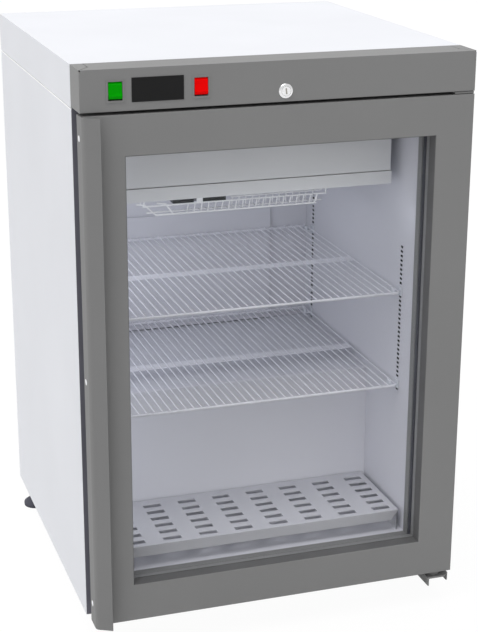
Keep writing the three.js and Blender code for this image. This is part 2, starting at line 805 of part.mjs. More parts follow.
// Rocker resting with its top pressed in and its foot standing out
function rocker(x) {
  const [width, height] = ROCKER_SIZE;
  const half = height / 2;
  const profile = [
    [-7.5, -half],
    [-10, -half + 4],
    [-8.8, 0],
    [-10, half - 4],
    [-7.5, half],
    [3, 6],
    [3, -6],
  ];
  const body = plateX(profile, [], [-width / 2, width / 2]);
  const axle = rodX([0, 0], 1.6, [-width / 2 - 1.1, width / 2 + 1.1]);
  return join(body, axle).rotateX(-ROCKER_TILT * DEGREES).translate(x, 8, ROCKER_Z);
}

function lockBody() {
  const flange = rodY(LOCK, 11, [-2, -GAP]);
  const sleeve = rodY(LOCK, 9, [-1, 20]);
  return cut(join(flange, sleeve), rodY(LOCK, LOCK_PLUG + 0.4, [-3, 21]));
}

function lockBarrel() {
  const [x, z] = LOCK;
  const plug = rodY(LOCK, LOCK_PLUG, [-2.6, 24]);
  const keyway = block([x - 0.8, x + 0.8], [-4, 4], [z - 4, z + 4]);
  const cam = block([x - 6, x + CAM_REACH], CAM_Y, [z - 6, z + 6]);
  return join(cut(plug, keyway), cam);
}

// Hinges
function upperHingeBracket() {
  const top = FASCIA_Z - 0.7;
  const rear = CABINET_FRONT - GAP;
  const plate = block(UPPER_HINGE_X, [2, rear], [top - 3, top]);
  const leg = block(UPPER_HINGE_X, [rear - 3, rear], [834, top]);
  const pin = rodZ(HINGE, HINGE_PIN, [832, top - 1]);
  return join(plate, leg, pin);
}

// Plate with a cut corner and a flange folded down along each side
function lowerHingeBracket() {
  const [left, right] = LOWER_HINGE_X;
  const [front, rear] = LOWER_HINGE_Y;
  const corner = 10;
  const sheet = LOWER_HINGE_SHEET;
  const plate = plateZ(
    [
      [left, front],
      [right - corner, front],
      [right, front + corner],
      [right, rear],
      [left, rear],
    ],
    [],
    [BASE_Z - GAP - sheet, BASE_Z - GAP],
  );
  const flangeZ = [LOWER_HINGE_Z, BASE_Z - 1];
  const leftFlange = block([left, left + sheet], [front, rear], flangeZ);
  const rightFlange = block([right - sheet, right], [front + corner, rear], flangeZ);
  const pin = rodZ(HINGE, HINGE_PIN, [BASE_Z - 2, DOOR_BOTTOM + 14.1]);
  return join(plate, leftFlange, rightFlange, pin);
}

function hingeBush(range, flange) {
  const tube = rodZ(HINGE, HINGE_BUSH, range);
  const whole = flange ? join(tube, rodZ(HINGE, HINGE_BUSH + 3, flange)) : tube;
  return cut(whole, rodZ(HINGE, HINGE_PIN + 0.4, [range[0] - 10, range[1] + 1]));
}

// Door
function camSlot(grow) {
  const x = [LOCK[0] - 9 - grow, LOCK[0] + CAM_REACH - 1 + grow];
  return block(x, [CAM_Y[0] - 1.4, CAM_Y[1] + 1.6], [CAM_SLOT_Z, DOOR_TOP + 1]);
}

function doorFrame() {
  const outside = [DOOR_LEFT, DOOR_RIGHT, DOOR_BOTTOM, DOOR_TOP];
  const face = ring(outside, WINDOW, [0, SHEET]);
  const edge = ring(outside, widen(outside, -SHEET), [0, DOOR_SKIN_DEPTH]);
  const reveal = ring(widen(WINDOW, SHEET), WINDOW, [0, GLASS_Y - GAP]);
  const bushes = [
    rodZ(HINGE, HINGE_BUSH + GAP, [DOOR_TOP - 3, DOOR_TOP + 1]),
    rodZ(HINGE, HINGE_BUSH + GAP, [DOOR_BOTTOM - 1, DOOR_BOTTOM + 3]),
  ];
  return cut(join(face, edge, reveal), camSlot(0), ...bushes);
}

const glassEdge = widen(WINDOW, GLASS_LAP);

function doorInnerFrame() {
  const outside = [DOOR_LEFT + 1.6, DOOR_RIGHT - 1.6, DOOR_BOTTOM + 1.6, DOOR_TOP - 1.6];
  const core = ring(outside, widen(glassEdge, 0.5), [1.6, DOOR_DEPTH]);
  const lip = ring(widen(glassEdge, 1), widen(WINDOW, 4), [GLASS_Y + GLASS_DEPTH + GAP, DOOR_DEPTH]);
  const bushes = [
    rodZ(HINGE, HINGE_BUSH + GAP, [DOOR_TOP - BUSH_DEPTH - 4.5, DOOR_TOP]),
    rodZ(HINGE, HINGE_BUSH + GAP, [DOOR_BOTTOM, DOOR_BOTTOM + BUSH_DEPTH + 1.8]),
  ];
  return cut(join(core, lip), camSlot(1), ...bushes);
}

function pane(y) {
  const [x0, x1, z0, z1] = glassEdge;
  return block([x0, x1], [y, y + PANE - 0.1], [z0, z1]);
}

function spacerFrame() {
  return ring(glassEdge, WINDOW, [GLASS_Y + PANE + 0.1, GLASS_Y + GLASS_DEPTH - PANE - 0.1]);
}

function doorGasket() {
  const sealing = [-INNER_HALF, INNER_HALF, FLOOR_Z, CEILING_Z];
  const lap = SEAL_HALF - INNER_HALF;
  const root = ring(widen(sealing, 24), widen(sealing, 8), [DOOR_DEPTH + GAP, 47]);
  const head = ring(widen(sealing, lap), sealing, [46, CABINET_FRONT - GAP]);
  return join(root, head);
}

// Full-height pull bent from sheet: a plate on the door's side and a flange that stands proud
function doorHandle() {
  const sheet = HANDLE_SHEET;
  const [edgeX, edgeY] = HANDLE_EDGE;
  const run = new THREE.Vector2(edgeX - HANDLE_LEFT, edgeY - HANDLE_CORNER_Y).normalize();
  const lean = Math.atan2(-run.y, run.x);
  const tangent = HANDLE_BEND * Math.tan(Math.PI / 4 - lean / 2);
  const centre = [HANDLE_LEFT + HANDLE_BEND, HANDLE_CORNER_Y + tangent];
  const arc = (radius) =>
    Array.from({ length: 5 }, (_, i) => {
      const angle = Math.PI + (i / 4) * (Math.PI / 2 - lean);
      return [centre[0] + radius * Math.cos(angle), centre[1] + radius * Math.sin(angle)];
    });
  const inward = [-run.y * sheet, run.x * sheet];
  const profile = [
    [HANDLE_LEFT, HANDLE_REAR],
    ...arc(HANDLE_BEND),
    [edgeX, edgeY],
    [edgeX + inward[0], edgeY + inward[1]],
    ...arc(HANDLE_BEND - sheet).reverse(),
    [HANDLE_LEFT + sheet, HANDLE_REAR],
  ];
  return plateZ(profile, [], [DOOR_BOTTOM, DOOR_TOP]);
}

// Feet
function foot([x, y]) {
  const profile = [
    [0, 0],
    [19, 0],
    [20.5, 2.5],
    [20.5, 8],
    [15, 13],
    [8, 16],
    [8, 24],
    [STEM_RADIUS, 24],
    [STEM_RADIUS, BASE_Z + 10],
    [0, BASE_Z + 10],
  ];
  return lathe(profile, [x, y], 16);
}

add("top_cover", topCover(), WHITE_STEEL);
add("side_panel_left", sidePanel(-1), WHITE_STEEL);
add("side_panel_right", sidePanel(1), WHITE_STEEL);
add("rear_panel", rearPanel(), GALVANISED);
add("rear_grille", rearGrille(), GALVANISED);
add("base_plate", basePlate(), GALVANISED);
add("front_frame", frontFrame(), GREY_STEEL);
add("foam_insulation", foamInsulation(), FOAM);
add("liner_left", linerSide(-1), LINER_WHITE);
add("liner_right", linerSide(1), LINER_WHITE);
add("liner_back", linerBack(), LINER_WHITE);
add("liner_base", linerBase(), LINER_WHITE);

for (const level of ["upper", "lower"]) {
  add(`shelf_${level}`, shelf(SHELF_Z[level]), WIRE_COAT);
  for (const [wall, side] of [["left", -1], ["right", 1]]) {
    for (const [place, y] of [["front", RACK_Y[0]], ["rear", RACK_Y[1]]]) {
      const clip = shelfClip(side, y, SHELF_Z[level]);
      add(`shelf_clip_${level}_${place}_${wall}`, clip, CLEAR_PLASTIC);
    }
  }
}
add("bottom_tray", bottomTray(), LINER_WHITE);

add("evaporator_housing", evaporatorHousing(), LINER_WHITE);
add("drip_tray", dripTray(), LINER_WHITE);
add("evaporator_coil", finBlock(COIL.x, COIL.y, COIL.z, 22, 4), ALUMINIUM);
add("evaporator_fan_frame", fanFrame(), BLACK_PLASTIC);
const airRotor = rotor(AIR_ROTOR, 5).translate(...AIR_FAN, AIR_FAN_Z[0] + 4);
add("evaporator_fan_rotor", airRotor, BLACK_PLASTIC);
add("fan_guard", fanGuard(), WIRE_COAT);
add("air_duct_cover", airDuctCover(), LINER_WHITE);

add("compressor", compressor(), BLACK_PLASTIC);
add("condenser", finBlock(CONDENSER_X, CONDENSER_Y, CONDENSER_Z, 13, 3), ALUMINIUM);
add("condenser_shroud", condenserShroud(), GALVANISED);
add("condenser_fan_motor", condenserMotor(), BLACK_PLASTIC);
const coolingRotor = rotor(COOLING_ROTOR, 5)
  .rotateX(Math.PI / 2)
  .translate(CONDENSER_FAN[0], CONDENSER_MOTOR_Y - 6.5, CONDENSER_FAN[1]);
add("condenser_fan_rotor", coolingRotor, ALUMINIUM);
add("refrigerant_pipe", refrigerantPipe(), COPPER);
add("power_inlet", powerInlet(), BLACK_PLASTIC);

add("fascia", fascia(), GREY_STEEL);
add("controller", controller(), BLACK_PLASTIC);
add("green_switch_body", switchBody(ROCKER_X.green), GREY_STEEL);
add("red_switch_body", switchBody(ROCKER_X.red), GREY_STEEL);
add("green_rocker", rocker(ROCKER_X.green), GREEN);
add("red_rocker", rocker(ROCKER_X.red), RED);
add("lock_body", lockBody(), CHROME);
add("lock_barrel", lockBarrel(), CHROME);

add("upper_hinge_bracket", upperHingeBracket(), GREY_STEEL);
add("lower_hinge_bracket", lowerHingeBracket(), GREY_STEEL);
const upperBushZ = [DOOR_TOP - 0.5 - BUSH_DEPTH, DOOR_TOP - 0.5];
const lowerBushZ = [BASE_Z, DOOR_BOTTOM + BUSH_DEPTH];
add("upper_hinge_bush", hingeBush(upperBushZ), BLACK_PLASTIC);
add("lower_hinge_bush", hingeBush(lowerBushZ, [BASE_Z, DOOR_BOTTOM - GAP]), BLACK_PLASTIC);

add("door_frame", doorFrame(), GREY_STEEL);
add("door_inner_frame", doorInnerFrame(), DARK_PLASTIC);
add("outer_pane", pane(GLASS_Y), GLASS);
add("inner_pane", pane(GLASS_Y + GLASS_DEPTH - PANE + 0.1), GLASS);
add("spacer_frame", spacerFrame(), ALUMINIUM);
add("door_gasket", doorGasket(), RUBBER);
add("door_handle", doorHandle(), GREY_STEEL);

for (const [corner, place] of Object.entries(FOOT_PLACES)) {
  add(`foot_${corner}`, foot(place), DARK_PLASTIC);
}

export default model;
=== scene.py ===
"""Under-counter glass-door refrigerator for caviar: finishes and detailed pieces on its solids."""

import json
import math

import bmesh
import bpy
from bmesh.types import BMEdge, BMFace, BMVert
from mathutils import Matrix, Vector

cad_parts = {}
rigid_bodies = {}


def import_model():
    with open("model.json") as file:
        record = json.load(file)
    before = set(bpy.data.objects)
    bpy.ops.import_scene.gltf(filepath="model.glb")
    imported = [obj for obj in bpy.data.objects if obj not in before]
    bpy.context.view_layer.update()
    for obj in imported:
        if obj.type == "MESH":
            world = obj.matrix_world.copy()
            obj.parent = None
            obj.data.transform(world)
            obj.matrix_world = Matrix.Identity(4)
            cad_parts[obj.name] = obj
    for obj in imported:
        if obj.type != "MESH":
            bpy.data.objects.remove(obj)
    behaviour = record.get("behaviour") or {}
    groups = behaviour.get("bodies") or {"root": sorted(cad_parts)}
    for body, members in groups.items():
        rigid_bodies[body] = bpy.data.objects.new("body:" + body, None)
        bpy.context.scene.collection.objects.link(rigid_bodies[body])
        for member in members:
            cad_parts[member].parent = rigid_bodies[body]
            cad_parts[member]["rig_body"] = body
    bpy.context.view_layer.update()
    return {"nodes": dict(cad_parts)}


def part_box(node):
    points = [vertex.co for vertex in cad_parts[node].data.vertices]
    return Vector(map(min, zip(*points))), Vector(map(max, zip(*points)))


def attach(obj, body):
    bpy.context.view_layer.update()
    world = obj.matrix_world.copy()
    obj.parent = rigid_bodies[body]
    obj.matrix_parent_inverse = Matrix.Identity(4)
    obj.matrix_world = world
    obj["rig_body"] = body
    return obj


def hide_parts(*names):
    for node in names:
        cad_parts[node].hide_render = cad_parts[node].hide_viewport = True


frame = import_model()
nodes = frame["nodes"]
scene = bpy.context.scene

MM = 0.001
DOOR_FACE_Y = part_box("fascia")[0].y
ORIGIN = Vector((0, DOOR_FACE_Y, 0))
RIGHT_ANGLE = math.radians(90)
CABINET_HALF = 300  # half of the cabinet's width, in millimetres
CLEARANCE = 0.3  # between sheets that lie against each other
SIDES = ((-1, "left"), (1, "right"))


def at(x, y, z):
    """Millimetres from the cabinet's middle, back from the door's face and up from the floor."""
    return Vector((x * MM, DOOR_FACE_Y + y * MM, z * MM))


def in_mm(node):
    """Lowest and highest corner of a node in the same millimetres as at()."""
    low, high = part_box(node)
    return (low - ORIGIN) / MM, (high - ORIGIN) / MM


def placed(name, data):
    """New object in the scene."""
    made = bpy.data.objects.new(name, data)
    scene.collection.objects.link(made)
    return made


# Camera, where the photograph was taken from

CAMERA_PLACE = (-759.5, -2086.2, 1269.2)
CAMERA_AZIMUTH = -18.326
CAMERA_DOWN = 18.46
CAMERA_ROLL = 0.201
CAMERA_LENS = 89.15


def add_camera():
    camera = placed("camera", bpy.data.cameras.new("camera"))
    camera.location = at(*CAMERA_PLACE)
    turn = Matrix.Rotation(math.radians(CAMERA_AZIMUTH), 3, "Z")
    tip = Matrix.Rotation(RIGHT_ANGLE - math.radians(CAMERA_DOWN), 3, "X")
    roll = Matrix.Rotation(math.radians(CAMERA_ROLL), 3, "Z")
    camera.rotation_euler = (turn @ tip @ roll).to_euler()
    camera.data.lens = CAMERA_LENS
    camera.data.clip_end = 60
    scene.camera = camera


# Finishes


def set_inputs(node, **values):
    """Sets a node's inputs by name; an underscore stands for a space."""
    for socket, value in values.items():
        node.inputs[socket.replace("_", " ")].default_value = value


def add_node(tree, kind, **values):
    node = tree.nodes.new(f"ShaderNode{kind}")
    set_inputs(node, **values)
    return node


def link(source, socket):
    source.id_data.links.new(source, socket)


def new_finish(name, colour, roughness, metallic=0.0, **sockets):
    """Material with one Principled shader, and the node tree to build on."""
    material = bpy.data.materials.new(name)
    material.use_nodes = True
    tree = material.node_tree
    shader = tree.nodes["Principled BSDF"]
    set_inputs(shader, Base_Color=(*colour, 1), Roughness=roughness, Metallic=metallic, **sockets)
    return material, tree, shader


def texture(tree, kind, scale, stretch=(1, 1, 1)):
    """Texture on Object coordinates; stretch squeezes it along an axis."""
    coordinates = add_node(tree, "TexCoord")
    mapping = add_node(tree, "Mapping", Scale=stretch)
    pattern = add_node(tree, kind, Scale=scale)
    link(coordinates.outputs["Object"], mapping.inputs["Vector"])
    link(mapping.outputs["Vector"], pattern.inputs["Vector"])
    return pattern


def noise(tree, scale, detail, stretch=(1, 1, 1)):
    pattern = texture(tree, "TexNoise", scale, stretch)
    set_inputs(pattern, Detail=detail)
    return pattern.outputs["Fac"]


def spread(source, low, high):
    """Remaps a texture's middle range to low and high."""
    remap = add_node(source.id_data, "MapRange", From_Min=0.3, From_Max=0.7, To_Min=low, To_Max=high)
    link(source, remap.inputs["Value"])
    return remap.outputs["Result"]


def tint(shader, source, colour, low, high):
    """Lets the base colour drift between two brightnesses of itself."""
    ramp = add_node(shader.id_data, "Mix")
    ramp.data_type = "RGBA"
    ramp.inputs["A"].default_value = (*[c * low for c in colour], 1)
    ramp.inputs["B"].default_value = (*[min(1, c * high) for c in colour], 1)
    link(spread(source, 0, 1), ramp.inputs["Factor"])
    link(ramp.outputs["Result"], shader.inputs["Base Color"])


def roughen(shader, source, low, high):
    link(spread(source, low, high), shader.inputs["Roughness"])


def bump(shader, source, height, strength=1.0, before=None):
    node = add_node(shader.id_data, "Bump", Strength=strength, Distance=height)
    link(source, node.inputs["Height"])
    if before:
        link(before.outputs["Normal"], node.inputs["Normal"])
    link(node.outputs["Normal"], shader.inputs["Normal"])
    return node


def powder_coat(name, colour, roughness=0.58):
    """Sprayed and baked paint on sheet: fine orange peel, faint drift in tone."""
    material, tree, shader = new_finish(name, colour, roughness, Specular_IOR_Level=0.18)
    peel = noise(tree, 650, 2.0)
    clouds = noise(tree, 3.5, 3.0)
    waves = noise(tree, 9, 1.0)
    tint(shader, clouds, colour, 0.975, 1.02)
    roughen(shader, peel, roughness - 0.05, roughness + 0.05)
    flatness = bump(shader, waves, 0.0006, 0.12)
    bump(shader, peel, 0.00004, 0.5, flatness)
    return material


GRAIN = 1100
GRAIN_HEIGHT = 0.00005


def moulded(name, colour, roughness=0.5, specular=0.35):
    """Injection-moulded plastic with a fine spark-eroded grain."""
    material, tree, shader = new_finish(name, colour, roughness, Specular_IOR_Level=specular)
    pits = texture(tree, "TexVoronoi", GRAIN)
    clouds = noise(tree, 14, 4.0)
    tint(shader, clouds, colour, 0.93, 1.06)
    bump(shader, pits.outputs["Distance"], GRAIN_HEIGHT, 0.4)
    return material


def gloss(name, colour, roughness=0.12, specular=0.5):
    """Smooth coloured plastic with faint sink marks."""
    material, tree, shader = new_finish(name, colour, roughness, Specular_IOR_Level=specular)
    sinks = noise(tree, 60, 1.0)
    tint(shader, sinks, colour, 0.95, 1.04)
    bump(shader, sinks, 0.0001, 0.15)
    return material


def soft_rubber(name, colour):
    material, tree, shader = new_finish(name, colour, 0.7, Specular_IOR_Level=0.05)
    skin = noise(tree, 900, 3.0)
    bloom = noise(tree, 11, 5.0)
    tint(shader, bloom, colour, 0.88, 1.12)
    bump(shader, skin, 0.00006, 0.6)
    return material


def plated(name, colour, roughness, spangle=0.0):
    """Zinc on steel; spangle is the crystal size in metres, or 0 for plating without one."""
    material, tree, shader = new_finish(name, colour, roughness, 0.85)
    scale = 1 / spangle if spangle else 240
    crystals = texture(tree, "TexVoronoi", scale)
    stains = noise(tree, 22, 6.0)
    mixed = add_node(tree, "Mix", Factor=0.5)
    link(crystals.outputs["Color"], mixed.inputs["A"])
    link(stains, mixed.inputs["B"])
    tint(shader, mixed.outputs["Result"], colour, 0.86, 1.1)
    roughen(shader, mixed.outputs["Result"], roughness - 0.08, roughness + 0.1)
    bump(shader, stains, 0.00005, 0.3)
    return material


def drawn_metal(name, colour, roughness, stretch=(1, 1, 1)):
    """Bright metal with fine lines along its length."""
    material, tree, shader = new_finish(name, colour, roughness, 1.0)
    lines = noise(tree, 700, 2.0, stretch)
    roughen(shader, lines, roughness - 0.06, roughness + 0.1)
    tint(shader, lines, colour, 0.92, 1.05)
    bump(shader, lines, 0.00002, 0.4)
    return material


def pane_glass():
    """Thin clear glazing that lets lamps through."""
    material, tree, shader = new_finish("clear_glazing", (0.3, 0.34, 0.34), 0.02, Alpha=0.02)
    waves = noise(tree, 4, 0.0)
    bump(shader, waves, 0.0004, 0.1)
    return material


WHITE_PAINT = powder_coat("white_powder_coat", (0.725, 0.735, 0.77))
GREY_PAINT = powder_coat("grey_powder_coat", (0.245, 0.245, 0.245))
PULL_PAINT = powder_coat("pull_powder_coat", (0.21, 0.21, 0.21))
# Near-white, brighter than the white paint: a painted highlight for the light that each hem's rolled
# top catches from above.
SEAM_HIGHLIGHT_WHITE = gloss("painted_seam_highlight", (0.97, 0.97, 0.98), 0.35)
LINER_PAINT = powder_coat("pale_liner_coat", (0.7, 0.7, 0.757), 0.5)
TRAY_PAINT = powder_coat("base_tray_coat", (0.58, 0.58, 0.62), 0.5)
EVAPORATOR_PAINT = powder_coat("evaporator_cover_coat", (0.7, 0.705, 0.725), 0.5)
WIRE_COAT = gloss("dipped_wire_coat", (0.86, 0.86, 0.92), 0.3)
GUARD_COAT = gloss("guard_wire_coat", (0.95, 0.95, 0.97), 0.3)
CAP_PLASTIC = gloss("white_screw_cap", (0.88, 0.88, 0.9), 0.3)
DARK_PLASTIC = moulded("dark_grey_plastic", (0.085, 0.085, 0.104), 0.6, 0.05)
# Darker than the frame's grey: painted shade for the gap behind the door's sides.
GAP_SHADE_PLASTIC = moulded("gap_shade_plastic", (0.17, 0.17, 0.2), 0.6, 0.05)
BEAD_PLASTIC = moulded("glazing_bead_plastic", (0.12, 0.12, 0.12), 0.55, 0.2)
BLACK_PLASTIC = moulded("black_plastic", (0.022, 0.022, 0.024), 0.42)
# Matt black without sheen: painted shade inside the rack slots.
SLOT_SHADE_BLACK = moulded("slot_shade_black", (0.008, 0.008, 0.009), 0.9, 0.0)
DISPLAY_FACE = gloss("smoked_display_face", (0.01, 0.01, 0.0105), 0.3, 0.15)
SWITCH_PLASTIC = moulded("grey_switch_plastic", (0.22, 0.22, 0.22), 0.45)
CLIP_PLASTIC = gloss("milky_clip_plastic", (0.75, 0.77, 0.83), 0.25)
GREEN_PLASTIC = gloss("green_rocker_plastic", (0.0, 0.36, 0.0), 0.35, 0.05)
RED_PLASTIC = gloss("red_rocker_plastic", (0.93, 0.0, 0.0), 0.35, 0.05)
SEAL_RUBBER = soft_rubber("seal_rubber", (0.075, 0.075, 0.092))
SPACER_METAL = moulded("spacer_bar", (0.22, 0.22, 0.222), 0.45)
ZINC = plated("zinc_plate", (0.62, 0.63, 0.64), 0.35)
GALVANISED = plated("galvanised_sheet", (0.5, 0.51, 0.53), 0.42, 0.012)
CHROME = drawn_metal("bright_chrome", (0.85, 0.85, 0.86), 0.12)
# Darker, duller metal for the key slot: partly the keyway's own metal, partly painted shade inside the
# slot.
KEYWAY_SHADE_METAL = drawn_metal("keyway_metal_and_shade", (0.45, 0.44, 0.4), 0.6)
FIN_METAL = drawn_metal("aluminium_fins", (0.68, 0.7, 0.72), 0.35, (1, 1, 0.05))
COPPER = drawn_metal("copper_tube", (0.75, 0.36, 0.2), 0.28)
FOAM = soft_rubber("insulation_foam", (0.75, 0.66, 0.42))
GLAZING = pane_glass()

# Making pieces


def body_of(node):
    return nodes[node]["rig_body"]


def settle(name, bm, finish, replaced=(), body="cabinet", smooth=38):
    """Turns a bmesh into a piece that rides on a body, with soft edges shaded smooth."""
    bmesh.ops.remove_doubles(bm, verts=bm.verts, dist=2e-6)
    bmesh.ops.recalc_face_normals(bm, faces=bm.faces)
    mesh = bpy.data.meshes.new(name)
    bm.to_mesh(mesh)
    bm.free()
    piece = placed(name, mesh)
    mesh.polygons.foreach_set("use_smooth", [True] * len(mesh.polygons))
    mesh.set_sharp_from_angle(angle=math.radians(smooth))
    mesh.materials.append(finish)
    piece.modifiers.new("even_shading", "WEIGHTED_NORMAL").keep_sharp = True
    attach(piece, body)
    if replaced:
        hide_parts(*replaced)
    return piece


def copy_of(node, clean=True):
    """The node's own solid; clean merges its triangles into whole faces, where none has many holes."""
    bm = bmesh.new()
    bm.from_mesh(nodes[node].data)
    bmesh.ops.remove_doubles(bm, verts=bm.verts, dist=1e-5)
    if clean:
        flat = math.radians(0.6)
        bmesh.ops.dissolve_limit(bm, angle_limit=flat, verts=bm.verts, edges=bm.edges)
    return bm


def bevel(bm, edges, width, segments=2):
    bmesh.ops.bevel(
        bm, geom=edges, affect="EDGES", offset=width * MM, offset_type="OFFSET",
        segments=segments, profile=0.5, material=-1, clamp_overlap=True,
    )


def corner_edges(bm, least=50):
    """Outside corners sharper than the given angle."""
    limit = math.radians(least)
    return [e for e in bm.edges if e.is_manifold and e.is_convex and e.calc_face_angle(0) > limit]


def edges_where(bm, test):
    """Sharp edges whose two ends, in millimetres, both pass the test."""
    passes = lambda edge: all(test(*((v.co - ORIGIN) / MM)) for v in edge.verts)
    return [e for e in corner_edges(bm) if passes(e)]


def near(a, b, reach=0.15):
    return abs(a - b) < reach


def softened(node, name, finish, folds=(), width=0.3, butt=None):
    """The node's shape with rounded folds, listed as (test, radius), and its other corners broken.

    Edges that pass the test butt meet another sheet and stay sharp.
    """
    bm = copy_of(node)
    for test, radius in folds:
        bevel(bm, edges_where(bm, test), radius, 4)
    if width:
        sharp = set(edges_where(bm, butt)) if butt else set()
        bevel(bm, [e for e in corner_edges(bm, 60) if e not in sharp], width, 1)
    return settle(name, bm, finish, [node], body_of(node))


def of_kind(geometry, kind):
    """The vertices, edges or faces among what an operator made."""
    return [g for g in geometry if isinstance(g, kind)]


def extruded(bm, face):
    """Extrudes a face without moving it and returns the new one."""
    made = bmesh.ops.extrude_face_region(bm, geom=[face])["geom"]
    return of_kind(made, BMFace)[0]


def add_block(bm, low, high):
    """Rectangular block between two corners in millimetres; returns its vertices."""
    a, b = at(*low), at(*high)
    scale = Matrix.Diagonal((b.x - a.x, b.y - a.y, b.z - a.z, 1))
    made = bmesh.ops.create_cube(bm, size=1, matrix=Matrix.Translation((a + b) / 2) @ scale)
    return made["verts"]


def edges_of(verts):
    """Edges whose two ends are both among the vertices, always in the same order."""
    inside = set(verts)
    linked = dict.fromkeys(e for v in verts for e in v.link_edges)
    return [e for e in linked if inside.issuperset(e.verts)]


def add_soft_block(bm, low, high, radius, segments=2):
    bevel(bm, edges_of(add_block(bm, low, high)), radius, segments)


def facing(direction):
    """Turns +Z to the direction."""
    return Vector((0, 0, 1)).rotation_difference(direction).to_matrix().to_4x4()


def add_rod(bm, start, end, radius, sides=12):
    """Round rod between two points in millimetres; returns its vertices."""
    a, b = at(*start), at(*end)
    place = Matrix.Translation((a + b) / 2) @ facing(b - a)
    made = bmesh.ops.create_cone(
        bm, cap_ends=True, segments=sides, radius1=radius * MM, radius2=radius * MM,
        depth=(b - a).length, matrix=place,
    )
    return made["verts"]


def add_disc(bm, centre, direction, radius, sides):
    """Flat round face that looks along the direction; centre is in metres, radius in millimetres."""
    place = Matrix.Translation(centre) @ facing(direction)
    made = bmesh.ops.create_circle(
        bm, cap_ends=True, segments=sides, radius=radius * MM, matrix=place
    )
    return made["verts"][0].link_faces[0]


def rounded_path(points, radius, steps=4):
    """The points, in millimetres, with each bend replaced by an arc."""
    path = [Vector(points[0])]
    for before, corner, after in zip(points, points[1:], points[2:]):
        corner = Vector(corner)
        back = (Vector(before) - corner).normalized()
        ahead = (Vector(after) - corner).normalized()
        half = back.angle(ahead) / 2
        reach = radius / math.tan(half)
        centre = corner + (back + ahead).normalized() * radius / math.sin(half)
        first = corner + back * reach - centre
        last = corner + ahead * reach - centre
        for step in range(steps + 1):
            path.append(centre + first.slerp(last, step / steps))
    path.append(Vector(points[-1]))
    return path


def add_wire(bm, points, radius, bend=0.0, sides=8):
    """Round wire swept along points by extruding its end from one to the next."""
    path = rounded_path(points, bend) if bend else [Vector(p) for p in points]
    spots = [at(*p) for p in path]
    heading = (spots[1] - spots[0]).normalized()
    end = add_disc(bm, spots[0], heading, radius, sides)
    for here, there, beyond in zip(spots, spots[1:], spots[2:] + [None]):
        end = extruded(bm, end)
        verts = list(end.verts)
        bmesh.ops.translate(bm, verts=verts, vec=there - here)
        if beyond is None:
            break
        onward = (beyond - there).normalized()
        middle = (heading + onward).normalized()
        turn = end_normal(verts, there, heading).rotation_difference(middle)
        bmesh.ops.rotate(bm, verts=verts, cent=there, matrix=turn.to_matrix())
        heading = onward


def end_normal(verts, centre, heading):
    """Normal of a ring of vertices, on the side of the heading."""
    first, second = verts[0].co - centre, verts[len(verts) // 4].co - centre
    normal = first.cross(second).normalized()
    return normal if normal.dot(heading) > 0 else -normal


def add_round_bar(bm, start, end, radius, sides=14):
    """Rod whose two ends are rounded over, between two points in millimetres."""
    verts = add_rod(bm, start, end, radius, sides)
    bm.normal_update()
    along = (at(*end) - at(*start)).normalized()
    is_rim = lambda e: abs((e.verts[1].co - e.verts[0].co).normalized().dot(along)) < 0.1
    bevel(bm, [e for e in edges_of(verts) if is_rim(e)], radius * 0.6, 3)


def add_turned(bm, profile, base, axis="Z", steps=32):
    """Solid of revolution: profile lists (radius, height) in millimetres above base, along an axis."""
    spin_axis = {"X": Vector((1, 0, 0)), "Y": Vector((0, 1, 0)), "Z": Vector((0, 0, 1))}[axis]
    side = Vector((0, 0, 1)) if axis == "X" else Vector((1, 0, 0))
    origin = at(*base)
    points = [origin + (side * r + spin_axis * h) * MM for r, h in profile]
    verts = [bm.verts.new(p) for p in points]
    edges = [bm.edges.new(pair) for pair in zip(verts, verts[1:])]
    turn = {"cent": origin, "axis": spin_axis, "angle": math.tau, "steps": steps}
    bmesh.ops.spin(bm, geom=verts + edges, use_merge=True, **turn)
    bmesh.ops.remove_doubles(bm, verts=bm.verts, dist=1e-6)


# Cabinet shell

SHELL_FOLD = 1.8
BACK_FOLD = 1.5
PANEL_FOLD = 1.6


def make_shell():
    low, high = in_mm("top_cover")
    top, front, back = high.z, low.y, high.y
    on_top = lambda x, y, z: near(z, top) and not near(y, front)
    on_side = lambda x, y, z: near(abs(x), CABINET_HALF) and near(y, back)
    folds = [(on_top, SHELL_FOLD), (on_side, BACK_FOLD)]
    softened("top_cover", "white_top_cover", WHITE_PAINT, folds)
    make_side_panels()
    face_side = lambda x, y, z: near(y, 0) and near(abs(x), CABINET_HALF)
    face_top = lambda x, y, z: near(y, 0) and near(z, top)
    folds = [(face_side, PANEL_FOLD), (face_top, PANEL_FOLD)]
    softened("fascia", "folded_control_panel", GREY_PAINT, folds, width=0.25)
    softened("front_frame", "cabinet_front_frame", GREY_PAINT)
    make_gap_shade_strips()
    softened("base_plate", "folded_base_plate", GALVANISED)
    softened("rear_panel", "flat_rear_panel", GALVANISED)
    softened("foam_insulation", "foamed_core", FOAM, width=0)


# Where the dark strips of painted shade lie on the front frame's face.
GAP_SHADE_X = (299.6, 284)
GAP_SHADE_Z = (50, 848)
GAP_SHADE_THICKNESS = 0.6


def make_gap_shade_strips():
    """Dark strips down both sides of the front frame, outside the door's seal: painted shade for the
    gap behind the door's sides.
    """
    face = in_mm("front_frame")[0].y
    bm = bmesh.new()
    for side, _ in SIDES:
        left, right = sorted(side * x for x in GAP_SHADE_X)
        low = (left, face - GAP_SHADE_THICKNESS, GAP_SHADE_Z[0])
        high = (right, face + 0.1, GAP_SHADE_Z[1])
        add_soft_block(bm, low, high, 0.2, 1)
    settle("front_gap_shade_strips", bm, GAP_SHADE_PLASTIC)


HEM_RADIUS = 2.2
# Radius of the near-white rod on each hem's top, which paints the hem's highlight.
HIGHLIGHT_ROD_RADIUS = 1.1


